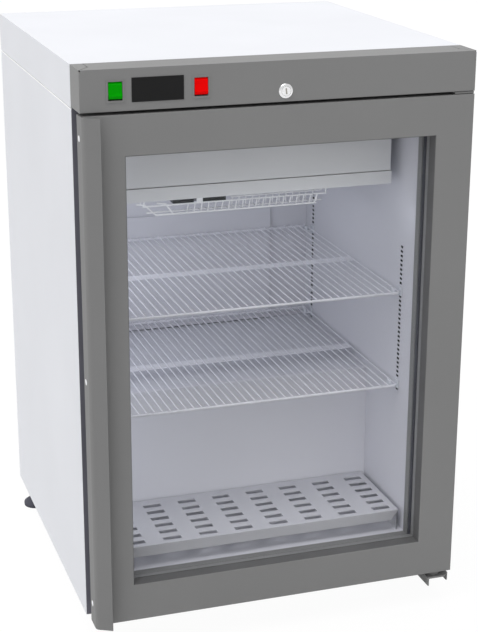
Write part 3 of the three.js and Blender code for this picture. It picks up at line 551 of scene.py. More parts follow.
def add_seam_rod(bm, side, low, high, radius, sides):
    """Rod along the upper edge of a side panel, flush with its face and its top."""
    x, z = side * (CABINET_HALF - radius), high.z - radius
    add_round_bar(bm, (x, low.y, z), (x, high.y - 1, z), radius, sides)


def make_side_panels():
    """Side panels whose upper edge is rolled into a hem under the top cover's skirt, with a near-white
    rod along the hem's top as its painted highlight.
    """
    for side, word in SIDES:
        node = f"side_panel_{word}"
        low, high = in_mm(node)
        bm = copy_of(node)
        back_edge = lambda x, y, z: near(abs(x), CABINET_HALF) and near(y, high.y)
        bevel(bm, edges_where(bm, back_edge), SHELL_FOLD, 4)
        for vert in bm.verts:
            if vert.co.z > (high.z - 1) * MM:
                vert.co.z -= HEM_RADIUS * MM
        add_seam_rod(bm, side, low, high, HEM_RADIUS, 20)
        settle(f"white_side_{word}", bm, WHITE_PAINT, [node])
        # Thin near-white rod along the hem's top: painted highlight of the rolled edge, not a separate
        # part.
        bm = bmesh.new()
        add_seam_rod(bm, side, low, high, HIGHLIGHT_ROD_RADIUS, 14)
        settle(f"painted_highlight_rod_{word}", bm, SEAM_HIGHLIGHT_WHITE)


STEP_EDGE = (242, 336)  # y and z of the step over the machine bay
STEP_FOLD = 3
# Width of the dark strips that paint the shadow gap at the duct cover's sides.
DUCT_SHADE_STRIP = 1.6


def finish_plain_nodes():
    """Flat sheets and panes that are shown as they were built."""
    for node in ("liner_left", "liner_right", "liner_back", "outer_pane", "inner_pane"):
        nodes[node].data.materials.clear()
        nodes[node].data.materials.append(LINER_PAINT if "liner" in node else GLAZING)


def make_liner():
    step = lambda x, y, z: near(y, STEP_EDGE[0]) and near(z, STEP_EDGE[1])
    softened("liner_base", "stepped_liner_floor", LINER_PAINT, [(step, STEP_FOLD)])
    softened("air_duct_cover", "rear_duct_cover", LINER_PAINT, width=0.5)
    low, high = in_mm("air_duct_cover")
    # Dark rubber strips at both sides of the duct cover: painted shadow of the gap between the cover
    # and the wall.
    bm = bmesh.new()
    for x in (low.x - DUCT_SHADE_STRIP, high.x):
        add_block(bm, (x, high.y - 2, low.z), (x + DUCT_SHADE_STRIP, high.y, high.z))
    settle("duct_side_painted_shade", bm, SEAL_RUBBER)


EVAPORATOR_CORNER = (225.6, 130)  # x and y of its upright front corners
TRAY_LIP_Z = 685.6


def make_evaporator():
    """Cover and drip tray of the evaporator; where the two sheets meet they stay sharp."""
    half, face = EVAPORATOR_CORNER
    front = lambda x, y, z: near(y, face) and near(abs(x), half)
    fold = in_mm("evaporator_housing")[0].z
    meets = lambda x, y, z: near(z, fold, 0.5)
    folds = [(front, 1.5)]
    softened("evaporator_housing", "evaporator_cover", EVAPORATOR_PAINT, folds, butt=meets)
    lip = lambda x, y, z: near(z, TRAY_LIP_Z)
    softened("drip_tray", "evaporator_drip_tray", EVAPORATOR_PAINT, [(lip, 1)], butt=meets)


def make_tray():
    low, high = in_mm("bottom_tray")
    bm = copy_of("bottom_tray", clean=False)
    fold = edges_where(bm, lambda x, y, z: near(z, high.z) and near(y, low.y))
    bevel(bm, fold, 0.6, 3)
    settle("slotted_base_tray", bm, TRAY_PAINT, ["bottom_tray"])


# Door

WINDOW = (-236.5, 240, 117.3, 787.5)  # left, right, bottom, top
DOOR_MIDDLE = (-297, 299, 57.5, 846)  # just inside its outer edges
WINDOW_FOLD = 1.0


def within(x, z, opening, slack=0.0):
    left, right, bottom, top = opening
    return left - slack < x < right + slack and bottom - slack < z < top + slack


def make_door():
    outer = lambda x, y, z: near(y, 0) and not within(x, z, DOOR_MIDDLE)
    window = lambda x, y, z: near(y, 0) and within(x, z, WINDOW, 0.5)
    folds = [(outer, PANEL_FOLD), (window, WINDOW_FOLD)]
    softened("door_frame", "folded_door_skin", GREY_PAINT, folds, width=0.25)
    softened("door_inner_frame", "door_core_frame", DARK_PLASTIC, width=0.6)
    softened("spacer_frame", "glazing_spacer", SPACER_METAL, width=0.4)


# Open-ended shapes shared by several pieces


def add_shell_box(bm, low, high, wall, open_sides):
    """Box of sheet, open towards the directions listed; the wall is inside the corners given."""
    verts = add_block(bm, low, high)
    bm.normal_update()
    faces = {f for v in verts for f in v.link_faces}
    doomed = [f for f in faces if any(f.normal.dot(Vector(d)) > 0.9 for d in open_sides)]
    kept = [f for f in faces if f not in doomed]
    bmesh.ops.delete(bm, geom=doomed, context="FACES_ONLY")
    bmesh.ops.solidify(bm, geom=kept, thickness=wall * MM)


def add_mitred_ring(bm, opening, profile):
    """Moulding round an opening (left, right, bottom, top); profile lists (outwards, y)."""
    left, right, bottom, top = opening
    middle = at((left + right) / 2, 0, (bottom + top) / 2)
    out, y = profile[0]
    corners = [(left - out, bottom - out), (right + out, bottom - out)]
    corners += [(right + out, top + out), (left - out, top + out)]
    verts = [bm.verts.new(at(x, y, z)) for x, z in corners]
    first = [bm.edges.new((verts[i - 1], verts[i])) for i in range(4)]
    edges = first
    for (out, y), (onward, beyond) in zip(profile, profile[1:]):
        made = bmesh.ops.extrude_edge_only(bm, edges=edges)["geom"]
        ring = of_kind(made, BMVert)
        for vert in ring:
            vert.co.x += (onward - out) * MM * math.copysign(1, vert.co.x - middle.x)
            vert.co.z += (onward - out) * MM * math.copysign(1, vert.co.z - middle.z)
            vert.co.y += (beyond - y) * MM
        edges = edges_of(ring)
    bmesh.ops.bridge_loops(bm, edges=first + edges)


def add_screw(bm, place, axis, radius, height):
    """Pan-head screw with a cross recess; axis is the way its head faces."""
    top = extruded(bm, add_disc(bm, at(*place), Vector(axis), radius, 16))
    lift = Vector(axis).normalized() * height * MM
    bmesh.ops.translate(bm, verts=top.verts[:], vec=lift * 0.55)
    bmesh.ops.inset_individual(bm, faces=[top], thickness=radius * 0.28 * MM)
    bmesh.ops.translate(bm, verts=top.verts[:], vec=lift * 0.45)
    bmesh.ops.inset_individual(bm, faces=[top], thickness=radius * 0.2 * MM)
    centre = top.calc_center_median()
    for index, vert in enumerate(top.verts[:]):
        if index % 4 in (1, 3):
            vert.co = centre + (vert.co - centre) * 0.62
        if index % 4 == 2:
            vert.co = centre + (vert.co - centre) * 0.42
    floor = extruded(bm, top)
    bmesh.ops.translate(bm, verts=floor.verts[:], vec=-lift * 0.5)
    for vert in floor.verts[:]:
        vert.co = centre - lift * 0.5 + (vert.co - centre + lift * 0.5) * 0.75


# Shelves

WIRE_RADIUS = 1.0
WIRE_PITCH = 12.7
WIRE_COUNT = 36
SHELF_ROD = 2.1
STRIP_Y = (297, 319)
STRIP_THICKNESS = 1.4
WELD = 0.2  # how far wires sink into what they are welded to


def make_shelf(level):
    low, high = in_mm(f"shelf_{level}")
    wire_z = high.z - WIRE_RADIUS
    rod_z = wire_z - WIRE_RADIUS - SHELF_ROD + WELD
    bm = bmesh.new()
    side, front, rear = high.x - SHELF_ROD, low.y + SHELF_ROD, high.y - SHELF_ROD
    for y in (front, rear):
        add_round_bar(bm, (-side, y, rod_z), (side, y, rod_z), SHELF_ROD)
    spots = [(i - (WIRE_COUNT - 1) / 2) * WIRE_PITCH for i in range(WIRE_COUNT)]
    for x in [-side, *spots, side]:
        ends = (x, front - SHELF_ROD * 0.6, wire_z), (x, rear + SHELF_ROD * 0.6, wire_z)
        add_round_bar(bm, *ends, WIRE_RADIUS, 10)
    strip_top = wire_z - WIRE_RADIUS + WELD / 2
    strip_low = (-side, STRIP_Y[0], strip_top - STRIP_THICKNESS)
    add_soft_block(bm, strip_low, (side, STRIP_Y[1], strip_top), 0.5)
    settle(f"wire_shelf_{level}", bm, WIRE_COAT, [f"shelf_{level}"])


LUG_X = 229
LUG_SIZE = (4, 11, 7.5)


def make_clips():
    """Milky clips: a ledge under the shelf, a wall plate and a lug that keeps the shelf's rod."""
    thick, wide, tall = LUG_SIZE
    for name in [n for n in nodes if n.startswith("shelf_clip")]:
        low, high = in_mm(name)
        bm = copy_of(name)
        bevel(bm, corner_edges(bm), 0.7, 2)
        x = LUG_X if low.x > 0 else -LUG_X
        y = (low.y + high.y) / 2
        foot = (x - thick / 2, y - wide / 2, high.z - tall)
        add_soft_block(bm, foot, (x + thick / 2, y + wide / 2, high.z), 0.8)
        settle(name.replace("shelf_clip", "clip"), bm, CLIP_PLASTIC, [name])


RACK_DEPTH = 8.2
RACK_MIDDLE_Z = 460
RACK_HALF = (6.4, 128.5)  # half of its width and height, as in SLOT_HALF
RACK_WALL = 1.0
SLOT_HALF = (3.48, 1.48)
SLOT_PITCH = 7.56
SLOT_COUNT = 33
FIRST_SLOT_Z = 583.7
# Black rim round each slot: painted shade that makes the slot look wider and darker.
SLOT_SHADE_RIM = 0.35
THROAT_X = (-1.7, 0.1)  # from the back of the wall
SHADE_RIM_X = (-2.0, -1.5)


def add_rack_box(bm, side, xs, y, z, half, wall, open_sides):
    """Open box of sheet round y and z at one side of the cabinet; xs are measured outwards."""
    left, right = sorted(side * x for x in xs)
    across, up = half
    add_shell_box(bm, (left, y - across, z - up), (right, y + across, z + up), wall, open_sides)


def make_rack_channels():
    """Channels behind the side walls, with a throat and a thin rim in each slot, all in a matt black
    without sheen that paints the shade inside the slots; the rims make each slot's painted shade look
    wider.
    """
    wall = in_mm("liner_right")[1].x + CLEARANCE
    channel = (wall, wall + RACK_DEPTH)
    throat = [wall + x for x in THROAT_X]
    shade_rim = [wall + x for x in SHADE_RIM_X]
    shade_rim_half = [half + SLOT_SHADE_RIM for half in SLOT_HALF]
    through = [(1, 0, 0), (-1, 0, 0)]
    for side, word in SIDES:
        for place in ("front", "rear"):
            clip_low, clip_high = in_mm(f"shelf_clip_upper_{place}_{word}")
            y = (clip_low.y + clip_high.y) / 2
            bm = bmesh.new()
            inwards = [(-side, 0, 0)]
            add_rack_box(bm, side, channel, y, RACK_MIDDLE_Z, RACK_HALF, RACK_WALL, inwards)
            for i in range(SLOT_COUNT):
                z = FIRST_SLOT_Z - i * SLOT_PITCH
                add_rack_box(bm, side, throat, y, z, SLOT_HALF, 0.3, through)
                add_rack_box(bm, side, shade_rim, y, z, shade_rim_half, SLOT_SHADE_RIM + 0.2, through)
            settle(f"rack_channel_{place}_{word}", bm, SLOT_SHADE_BLACK)


# Ceiling evaporator

GUARD_WIRE = 1.25
GUARD_BAR = 1.0
GUARD_BEND = 2.5
GUARD_RIM_Z = 659.8
GUARD_BARS = 20
GUARD_FIRST_BAR = -86.6
GUARD_PITCH = 11.38
GUARD_LEAN = 1.8  # how far each bar's foot is to the left of its head
GUARD_CLEAR_X = -10  # left of it the rear side is open to the fan
GUARD_FLOOR_END = 128
GUARD_STRAP_X = (-73, -63)
HOOK_BEND = 3
HOOK_TOP_Z = 664.2
HOOK_FEET = (-141, -110)
HOOK_HEADS = ((-171, -156), (-138, -122.5))


def make_guard():
    """Wire basket under the drip tray: long wires, bars bent round them and slanted hooks."""
    low, high = in_mm("fan_guard")
    front, rear = low.y + GUARD_WIRE, high.y - GUARD_WIRE
    floor_z = low.z + GUARD_WIRE
    bar_z = floor_z + GUARD_BAR + 1
    bm = bmesh.new()
    for y, z, start, end in (
        (front, GUARD_RIM_Z, low.x, high.x),
        (rear, GUARD_RIM_Z, GUARD_CLEAR_X, high.x),
        (rear, floor_z + 0.6, low.x + 12, high.x),
        (front, bar_z - 0.4, HOOK_FEET[0], GUARD_FLOOR_END),
    ):
        add_round_bar(bm, (start, y, z), (end, y, z), GUARD_WIRE, 10)
    for i in range(GUARD_BARS):
        x = GUARD_FIRST_BAR + i * GUARD_PITCH
        foot = x - GUARD_LEAN
        bent = [(x, front, GUARD_RIM_Z), (foot, front, bar_z), (foot, rear, bar_z)]
        if x > GUARD_CLEAR_X:
            bent.append((x, rear, GUARD_RIM_Z))
        add_wire(bm, bent, GUARD_BAR, GUARD_BEND, 8)
    add_guard_hooks(bm, front, floor_z)
    left, right = GUARD_STRAP_X
    add_soft_block(bm, (left, front - 0.6, GUARD_RIM_Z), (right, front + 0.6, HOOK_TOP_Z + 8), 0.4)
    for y in (front, rear):
        for x in (low.x + 2 * GUARD_WIRE, high.x - GUARD_WIRE):
            add_rod(bm, (x, y, GUARD_RIM_Z), (x, y, high.z), GUARD_WIRE, 10)
    settle("fan_guard_basket", bm, GUARD_COAT, ["fan_guard"])


def add_guard_hooks(bm, y, floor_z):
    """Two wires that slant down from the left; the first runs on along the floor to the last bar."""
    last_bar = GUARD_FIRST_BAR + (GUARD_BARS - 1) * GUARD_PITCH
    onward = [(last_bar - 4, y, floor_z), (last_bar, y, GUARD_RIM_Z)]
    for head, foot, rest in zip(HOOK_HEADS, HOOK_FEET, (onward, [])):
        hook = [(x, y, HOOK_TOP_Z) for x in head] + [(foot, y, floor_z)] + rest
        add_wire(bm, hook, GUARD_WIRE, HOOK_BEND, 10)


def add_blades(bm, centre, axis, hub, tip, chord, pitch, count, thickness):
    """Twisted fan blades round an axis through centre, in millimetres."""
    for i in range(count):
        verts = bmesh.ops.create_grid(bm, x_segments=7, y_segments=5, size=0.5)["verts"]
        for vert in verts:
            along, across = vert.co.x + 0.5, vert.co.y
            radius = hub + along * (tip - hub)
            width = chord * (0.75 + 0.45 * along)
            twist = math.radians(pitch * (1.25 - 0.5 * along))
            camber = 0.1 * width * (0.25 - across**2) * 4
            sweep = across * width + 0.18 * chord * along
            flat = sweep * math.cos(twist) - camber * math.sin(twist)
            rise = across * width * math.sin(twist) + camber * math.cos(twist)
            angle = flat / radius + i * math.tau / count
            vert.co = Vector((radius * math.cos(angle), radius * math.sin(angle), rise)) * MM
        faces = list({f for v in verts for f in v.link_faces})
        bmesh.ops.solidify(bm, geom=faces, thickness=thickness * MM)
    turn = facing(Vector(axis))
    bmesh.ops.transform(bm, matrix=Matrix.Translation(at(*centre)) @ turn, verts=bm.verts[:])


FINGER_RINGS = (10, 18, 26, 34)
FINGER_WIRE = 0.8


def make_finger_guard():
    """Rings and spokes across the lower mouth of the evaporator's fan."""
    low, high = in_mm("evaporator_fan_frame")
    x, y, z = (low.x + high.x) / 2, (low.y + high.y) / 2, low.z + 1.2
    angles = [i * math.tau / 6 for i in range(7)]
    section = [(FINGER_WIRE * math.cos(a), FINGER_WIRE * math.sin(a)) for a in angles]
    bm = bmesh.new()
    for radius in FINGER_RINGS:
        add_turned(bm, [(radius + out, up) for out, up in section], (x, y, z), "Z", 40)
    reach = (high.x - low.x) / 2 - 2
    for i in range(3):
        angle = i * math.tau / 6
        along = Vector((math.cos(angle), math.sin(angle), 0)) * reach
        middle = Vector((x, y, z))
        add_rod(bm, middle - along, middle + along, FINGER_WIRE, 8)
    settle("fan_finger_guard", bm, BLACK_PLASTIC)


BLADE_GAP = 0.4


def make_fans():
    low, high = in_mm("evaporator_fan_rotor")
    x, y, z = (low + high) / 2
    bm = bmesh.new()
    tip = (high.x - low.x) / 2 - BLADE_GAP
    add_blades(bm, (x, y, z), (0, 0, 1), 15, tip, chord=21, pitch=34, count=7, thickness=1.2)
    hub = [(0, -9), (12, -9), (15.5, -7.5), (16, -5), (16, 9), (14.5, 10), (0, 10)]
    add_turned(bm, hub, (x, y, z), "Z", 32)
    rotor = settle("evaporator_fan", bm, BLACK_PLASTIC, ["evaporator_fan_rotor"], "evaporator_fan")
    softened("evaporator_fan_frame", "evaporator_fan_square", BLACK_PLASTIC, width=0.8)
    make_finger_guard()

    low, high = in_mm("condenser_fan_rotor")
    x, y, z = (low + high) / 2
    bm = bmesh.new()
    tip = (high.z - low.z) / 2 - BLADE_GAP
    add_blades(bm, (x, y, z), (0, 1, 0), 16, tip, chord=48, pitch=28, count=5, thickness=1.0)
    hub = [(0, -10), (14, -10), (18, -8), (18, 8), (14, 10), (0, 10)]
    add_turned(bm, hub, (x, y, z), "Y", 32)
    rotor = settle("condenser_fan", bm, FIN_METAL, ["condenser_fan_rotor"], "condenser_fan")


# Heat exchangers

FIN_PITCH = 4
FIN_MARGIN = 12
BEND_REACH = 4.2  # from the coil's end to the middle of its return bends
TUBE_RADIUS = 3.4


def make_coil(node, name, rows, tubes):
    """Finned block: thin fins, copper tubes through them and return bends at both ends."""
    low, high = in_mm(node)
    bm = bmesh.new()
    first, last = low.x + FIN_MARGIN, high.x - FIN_MARGIN
    count = int((last - first) / FIN_PITCH)
    for i in range(count + 1):
        x = first + (last - first) * i / count
        add_block(bm, (x - 0.15, low.y, low.z), (x + 0.15, high.y, high.z))
    for x in (low.x + 8, high.x - 9):
        add_soft_block(bm, (x, low.y, low.z), (x + 1, high.y, high.z), 0.3, 1)
    settle(f"{name}_fins", bm, FIN_METAL, [node])
    bm = bmesh.new()
    depth_step = (high.y - low.y) / rows
    rise = (high.z - low.z) / tubes
    turn_radius = rise / 2 - 0.2
    for row in range(rows):
        y = low.y + depth_step * (row + 0.5)
        route = []
        for level in range(tubes):
            z = low.z + rise * (level + 0.5)
            ends = (low.x + BEND_REACH, high.x - BEND_REACH)
            route += [(x, y, z) for x in (ends if level % 2 == 0 else ends[::-1])]
        add_wire(bm, route, TUBE_RADIUS, min(turn_radius, 7), 10)
    settle(f"{name}_tubes", bm, COPPER)


# Machine compartment

FOOT_PLATE = (92, 40)  # half of its length and width


def make_compressor():
    low, high = in_mm("compressor")
    half, wide = FOOT_PLATE
    x, y = low.x + half, (low.y + high.y) / 2
    bm = bmesh.new()
    shell = [(0, 74), (48, 75), (66, 80), (77, 90), (80, 106), (80, 136), (82.5, 137), (82.5, 141)]
    shell += [(80, 142), (79, 168), (74, 184), (62, 198), (44, 208), (20, 212.4), (0, 213)]
    add_turned(bm, shell, (x, y, 0), "Z", 48)
    add_soft_block(bm, (x - half, y - wide, 70), (x + half, y + wide, 73), 1, 2)
    add_soft_block(bm, (x + 70, y - 30, 110), (high.x, y + 30, 165), 4, 3)
    for dx in (-34, 34):
        add_rod(bm, (x + dx, y, 204), (x + dx, y, 210), 6)
    settle("hermetic_compressor", bm, BLACK_PLASTIC, ["compressor"])
    bm = bmesh.new()
    grommet = [(4, low.z), (10, low.z), (10.5, 58), (8, 60), (8, 66), (10, 68), (9, 70), (4, 70)]
    for dx in (-80, 80):
        for dy in (-30, 30):
            add_turned(bm, grommet + grommet[:1], (x + dx, y + dy, 0), "Z", 20)
            add_rod(bm, (x + dx, y + dy, low.z), (x + dx, y + dy, 78), 3)
    settle("compressor_grommets", bm, SEAL_RUBBER)


CONDENSER_FAN = (-160, 162)  # x and z of its axis


def make_condenser():
    make_coil("condenser", "condenser", rows=2, tubes=8)
    back = in_mm("condenser_shroud")[1].y
    bm = copy_of("condenser_shroud")
    bevel(bm, corner_edges(bm, 80), 0.4, 1)
    x, z = CONDENSER_FAN
    lip = [(84.2, -12), (84.2, 0), (87, 0.4), (91, 0.4), (91, -0.4), (86, -0.6), (85.2, -12)]
    add_turned(bm, lip + lip[:1], (x, back - 0.6, z), "Y", 64)
    settle("condenser_fan_shroud", bm, GALVANISED, ["condenser_shroud"])
    softened("condenser_fan_motor", "condenser_motor_and_arms", BLACK_PLASTIC, width=0.8)
    copper_pipe()


PIPE_RADIUS = 4
PIPE_ROUTE = (
    (105.2, 527.2, 110), (94, 544, 110), (70, 570, 135), (50, 578, 190), (20, 576, 255),
    (-60, 550, 276), (-170, 490, 277), (-240, 410, 277), (-262, 350, 276), (-262, 326, 272),
    (-262, 325, 262.5),
)


def copper_pipe():
    """Discharge pipe along the same route as its solid."""
    curve = bpy.data.curves.new("discharge_pipe", "CURVE")
    curve.dimensions = "3D"
    curve.bevel_depth = PIPE_RADIUS * MM
    curve.bevel_resolution = 4
    curve.use_fill_caps = True
    spline = curve.splines.new("BEZIER")
    spline.bezier_points.add(len(PIPE_ROUTE) - 1)
    for point, place in zip(spline.bezier_points, PIPE_ROUTE):
        point.co = at(*place)
        point.handle_left_type = point.handle_right_type = "AUTO"
    piece = placed("discharge_pipe", curve)
    curve.materials.append(COPPER)
    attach(piece, "cabinet")
    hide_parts("refrigerant_pipe")


LOUVRE_COLUMNS = (-225, -75, 75)
LOUVRE_ROWS = 8
LOUVRE_PITCH = 20
FIRST_LOUVRE_Z = 133
LOUVRE_WIDTH = 120
LOUVRE_DEPTH = (0, -7, -9)  # each blade runs inwards and down from its slot's upper edge
INLET_PINS = ((227, 84), (234, 88.5), (241, 84))
SCREW_HEAD = 3.6


def make_rear():
    back = in_mm("rear_grille")[1].y
    bm = copy_of("rear_grille")
    bmesh.ops.translate(bm, verts=bm.verts[:], vec=Vector((0, -0.5 * MM, 0)))
    for x in LOUVRE_COLUMNS:
        for i in range(LOUVRE_ROWS):
            z = FIRST_LOUVRE_Z + i * LOUVRE_PITCH
            ends = [bm.verts.new(at(end, back - 1.2, z)) for end in (x, x + LOUVRE_WIDTH)]
            made = bmesh.ops.extrude_edge_only(bm, edges=[bm.edges.new(ends)])["geom"]
            moved = of_kind(made, BMVert)
            bmesh.ops.translate(bm, verts=moved, vec=Vector(LOUVRE_DEPTH) * MM)
            blade = of_kind(made, BMFace)
            bmesh.ops.solidify(bm, geom=blade, thickness=0.8 * MM)
    settle("louvred_rear_grille", bm, GALVANISED, ["rear_grille"])
    bm = copy_of("power_inlet")
    bevel(bm, corner_edges(bm, 60), 0.8, 2)
    for x, z in INLET_PINS:
        add_soft_block(bm, (x - 1, back - 18, z - 2), (x + 1, back - 3, z + 2), 0.4, 1)
    settle("mains_inlet", bm, BLACK_PLASTIC, ["power_inlet"])
    bm = bmesh.new()
    for x in (-270, -90, 90, 270):
        for z in (58, 284):
            add_screw(bm, (x, back - 0.5, z), (0, 1, 0), SCREW_HEAD, 0.5)
    panel_back = in_mm("rear_panel")[1].y
    for z in (330, 570, 810):
        for x in (-278, 278):
            add_screw(bm, (x, panel_back, z), (0, 1, 0), SCREW_HEAD, 1.4)
    settle("rear_screws", bm, ZINC)


# Door's pull, seal and bead

HANDLE_CORNER_Y = -10
HANDLE_BEND = 9
HANDLE_SHEET = 2
HANDLE_SCREWS = (814.6, 453.7, 91.3)


def make_handle():
    """Full-height pull bent from one sheet, with the three screw caps on the door's side."""
    low, high = in_mm("door_handle")
    left, corner_y = low.x + 0.4, HANDLE_CORNER_Y
    edge_x, edge_y = high.x, low.y
    run = Vector((edge_x - left, edge_y - corner_y, 0)).normalized()
    lean = math.atan2(-run.y, run.x)
    sweep = RIGHT_ANGLE - lean
    tangent = HANDLE_BEND * math.tan(sweep / 2)
    bm = bmesh.new()
    ends = [bm.verts.new(at(left, high.y, z)) for z in (low.z, high.z)]
    edges = [bm.edges.new(ends)]
    edges = push_edges(bm, edges, Vector((0, corner_y + tangent - high.y, 0)))
    centre = at(left + HANDLE_BEND, corner_y + tangent, 0)
    ends = [v for e in edges for v in e.verts]
    turn = {"cent": centre, "axis": (0, 0, 1), "angle": sweep, "steps": 10}
    made = bmesh.ops.spin(bm, geom=edges + ends, **turn)
    edges = of_kind(made["geom_last"], BMEdge)
    reach = Vector((edge_x, edge_y, 0)) - Vector((left, corner_y, 0)) - run * tangent
    push_edges(bm, edges, reach)
    bmesh.ops.recalc_face_normals(bm, faces=bm.faces)
    bm.faces.ensure_lookup_table()
    if bm.faces[0].normal.x > 0:
        bmesh.ops.reverse_faces(bm, faces=bm.faces[:])
    bmesh.ops.solidify(bm, geom=bm.faces[:], thickness=HANDLE_SHEET * MM)
    bevel(bm, corner_edges(bm, 60), 0.45, 2)
    settle("bent_door_pull", bm, PULL_PAINT, ["door_handle"], "door", 30)
    bm = bmesh.new()
    for z in HANDLE_SCREWS:
        cap = [(0, 0.4), (3.2, 0.35), (4.6, 0.1), (5, -0.4), (0, -0.4)]
        add_turned(bm, [(r, -h) for r, h in cap], (left, 11, z), "X", 32)
    settle("pull_screw_caps", bm, CAP_PLASTIC, body="door")


def push_edges(bm, edges, by):
    """Extrudes edges by a step in millimetres and returns the new ones."""
    made = bmesh.ops.extrude_edge_only(bm, edges=edges)["geom"]
    verts = of_kind(made, BMVert)
    bmesh.ops.translate(bm, verts=verts, vec=by * MM)
    return edges_of(verts)


GASKET_LAP = 32.5
GASKET_PROFILE = (
    (8, 38.3), (24, 38.3), (24, 39.8), (19, 40.6), (20.5, 43.0), (26.5, 44.4), (31.5, 46.8),
    (32.5, 49.8), (32.0, 53.6), (30.8, 54.7), (3.2, 54.7), (1.0, 53.6), (0.2, 50.5), (1.6, 47.6),
    (8.0, 46.2), (13.0, 44.4), (12.0, 42.2), (13.5, 40.4), (8, 39.8),
)


def make_seal():
    low, high = in_mm("door_gasket")
    left, right = low.x + GASKET_LAP, high.x - GASKET_LAP
    bm = bmesh.new()
    opening = (left, right, low.z + GASKET_LAP, high.z - GASKET_LAP)
    add_mitred_ring(bm, opening, GASKET_PROFILE)
    settle("magnetic_door_seal", bm, SEAL_RUBBER, ["door_gasket"], "door")


def make_bead():
    """Dark glazing bead that lines the window's edge down to the glass."""
    bm = bmesh.new()
    profile = [(0, 0.9), (0, 18.6), (-1.4, 18.6), (-1.1, 17.2), (-0.8, 1.6), (-0.4, 0.9)]
    add_mitred_ring(bm, WINDOW, profile)
    settle("glazing_bead", bm, BEAD_PLASTIC, body="door")


# Controls


def make_controls():
    bm = copy_of("controller")
    bevel(bm, corner_edges(bm, 60), 0.6, 2)
    front = min(bm.faces, key=lambda f: f.calc_center_median().y)
    bmesh.ops.inset_individual(bm, faces=[front], thickness=4 * MM)
    bmesh.ops.inset_individual(bm, faces=[front], thickness=0.5 * MM, depth=-0.5 * MM)
    settle("thermostat", bm, DISPLAY_FACE, ["controller"])
    for colour, finish in (("green", GREEN_PLASTIC), ("red", RED_PLASTIC)):
        softened(f"{colour}_switch_body", f"{colour}_switch_bezel", SWITCH_PLASTIC)
        rocker = f"{colour}_rocker"
        bm = copy_of(rocker)
        bevel(bm, corner_edges(bm, 12), 0.5, 2)
        settle(f"{rocker}_key", bm, finish, [rocker], rocker, 30)


LOCK_PLACE = (0.8, 867)
KEYHOLE_TILT = math.radians(-10)


def make_lock():
    x, z = LOCK_PLACE
    bm = bmesh.new()
    flange = [(7.15, 0.6), (7.15, -2.35), (8.5, -2.15), (9.6, -1.8), (10.5, -1.1), (11, -0.3)]
    flange += [(9, -0.3), (9, 20), (7.15, 20), (7.15, 0.6)]
    add_turned(bm, flange, (x, 0, z), "Y", 48)
    settle("lock_rosette", bm, CHROME, ["lock_body"])
    bm = copy_of("lock_barrel")
    bevel(bm, corner_edges(bm, 60), 0.25, 1)
    settle("lock_plug_and_cam", bm, CHROME, ["lock_barrel"], "lock")
    bm = bmesh.new()
    # Key slot as a darker dull block in front of the plug: stands for the keyway's metal and paints
    # the shade inside it.
    add_soft_block(bm, (x - 1.3, -2.75, z - 4.6), (x + 1.3, 1, z + 4.6), 0.6, 3)
    tilt = Matrix.Rotation(KEYHOLE_TILT, 3, "Y")
    bmesh.ops.rotate(bm, verts=bm.verts[:], cent=at(x, 0, z), matrix=tilt)
    settle("key_slot", bm, KEYWAY_SHADE_METAL, body="lock")


# Hinges and feet

HINGE_PLATE = 2.5
PIN_BORE = 4.4  # bore of the bush on each pin


def make_hinges():
    for node in ("upper_hinge_bracket", "lower_hinge_bracket"):
        softened(node, node.replace("bracket", "plate"), GREY_PAINT, width=0.35)
    bm = bmesh.new()
    plate_underside = in_mm("base_plate")[0].z - HINGE_PLATE
    for x in (268, 288):
        add_screw(bm, (x, 51.7, 842), (0, -1, 0), 3, 1.2)
    for y in (62, 88):
        add_screw(bm, (279, y, plate_underside), (0, 0, -1), 4, 2)
    settle("hinge_screws", bm, ZINC)
    bore = PIN_BORE
    for node, has_flange in (("upper_hinge_bush", False), ("lower_hinge_bush", True)):
        low, high = in_mm(node)
        foot = [(bore, low.z), (7, low.z), (8, low.z + 1)]
        if has_flange:
            top = low.z + 8.1
            foot = [(bore, low.z), (10.4, low.z), (11, low.z + 0.9)]
            foot += [(11, top - 0.8), (10.2, top), (8, top)]
        profile = [*foot, (8, high.z - 1), (7, high.z), (bore, high.z), (bore, low.z)]
        bm = bmesh.new()
        add_turned(bm, profile, ((low.x + high.x) / 2, (low.y + high.y) / 2, 0), "Z", 32)
        name = node.replace("hinge_bush", "nylon_bush")
        settle(name, bm, SWITCH_PLASTIC, [node], body_of(node))


STEM_FOOT = 24.5
THREAD_PITCH = 2
THREAD_ROOT = 4.4
THREAD_CREST = 5


def make_feet():
    for name in [n for n in nodes if n.startswith("foot_")]:
        low, high = in_mm(name)
        x, y = (low.x + high.x) / 2, (low.y + high.y) / 2
        bm = bmesh.new()
        pad = [(0, 0), (18, 0), (20, 1.2), (20.5, 3), (20.5, 7), (19.6, 9), (15, 12.6), (10, 15.6)]
        pad += [(9, 18), (8.4, 23), (7.2, STEM_FOOT), (4.6, STEM_FOOT)]
        z = STEM_FOOT
        while z < high.z - THREAD_PITCH:
            pad += [(THREAD_CREST, z + THREAD_PITCH / 2), (THREAD_ROOT, z + THREAD_PITCH)]
            z += THREAD_PITCH
        pad += [(THREAD_ROOT, high.z), (0, high.z)]
        add_turned(bm, pad, (x, y, 0), "Z", 36)
        piece_name = name.replace("foot", "levelling_foot")
        settle(piece_name, bm, DARK_PLASTIC, [name], body_of(name))


# Stage

FLOOR_GLOW = 1.06
FLOOR_VEIL = 0.9


def add_stage():
    floor_mesh = bpy.data.meshes.new("floor")
    bm = bmesh.new()
    bmesh.ops.create_grid(bm, x_segments=1, y_segments=1, size=30)
    bm.to_mesh(floor_mesh)
    bm.free()
    floor = placed("floor", floor_mesh)
    floor.data.materials.append(white_floor())


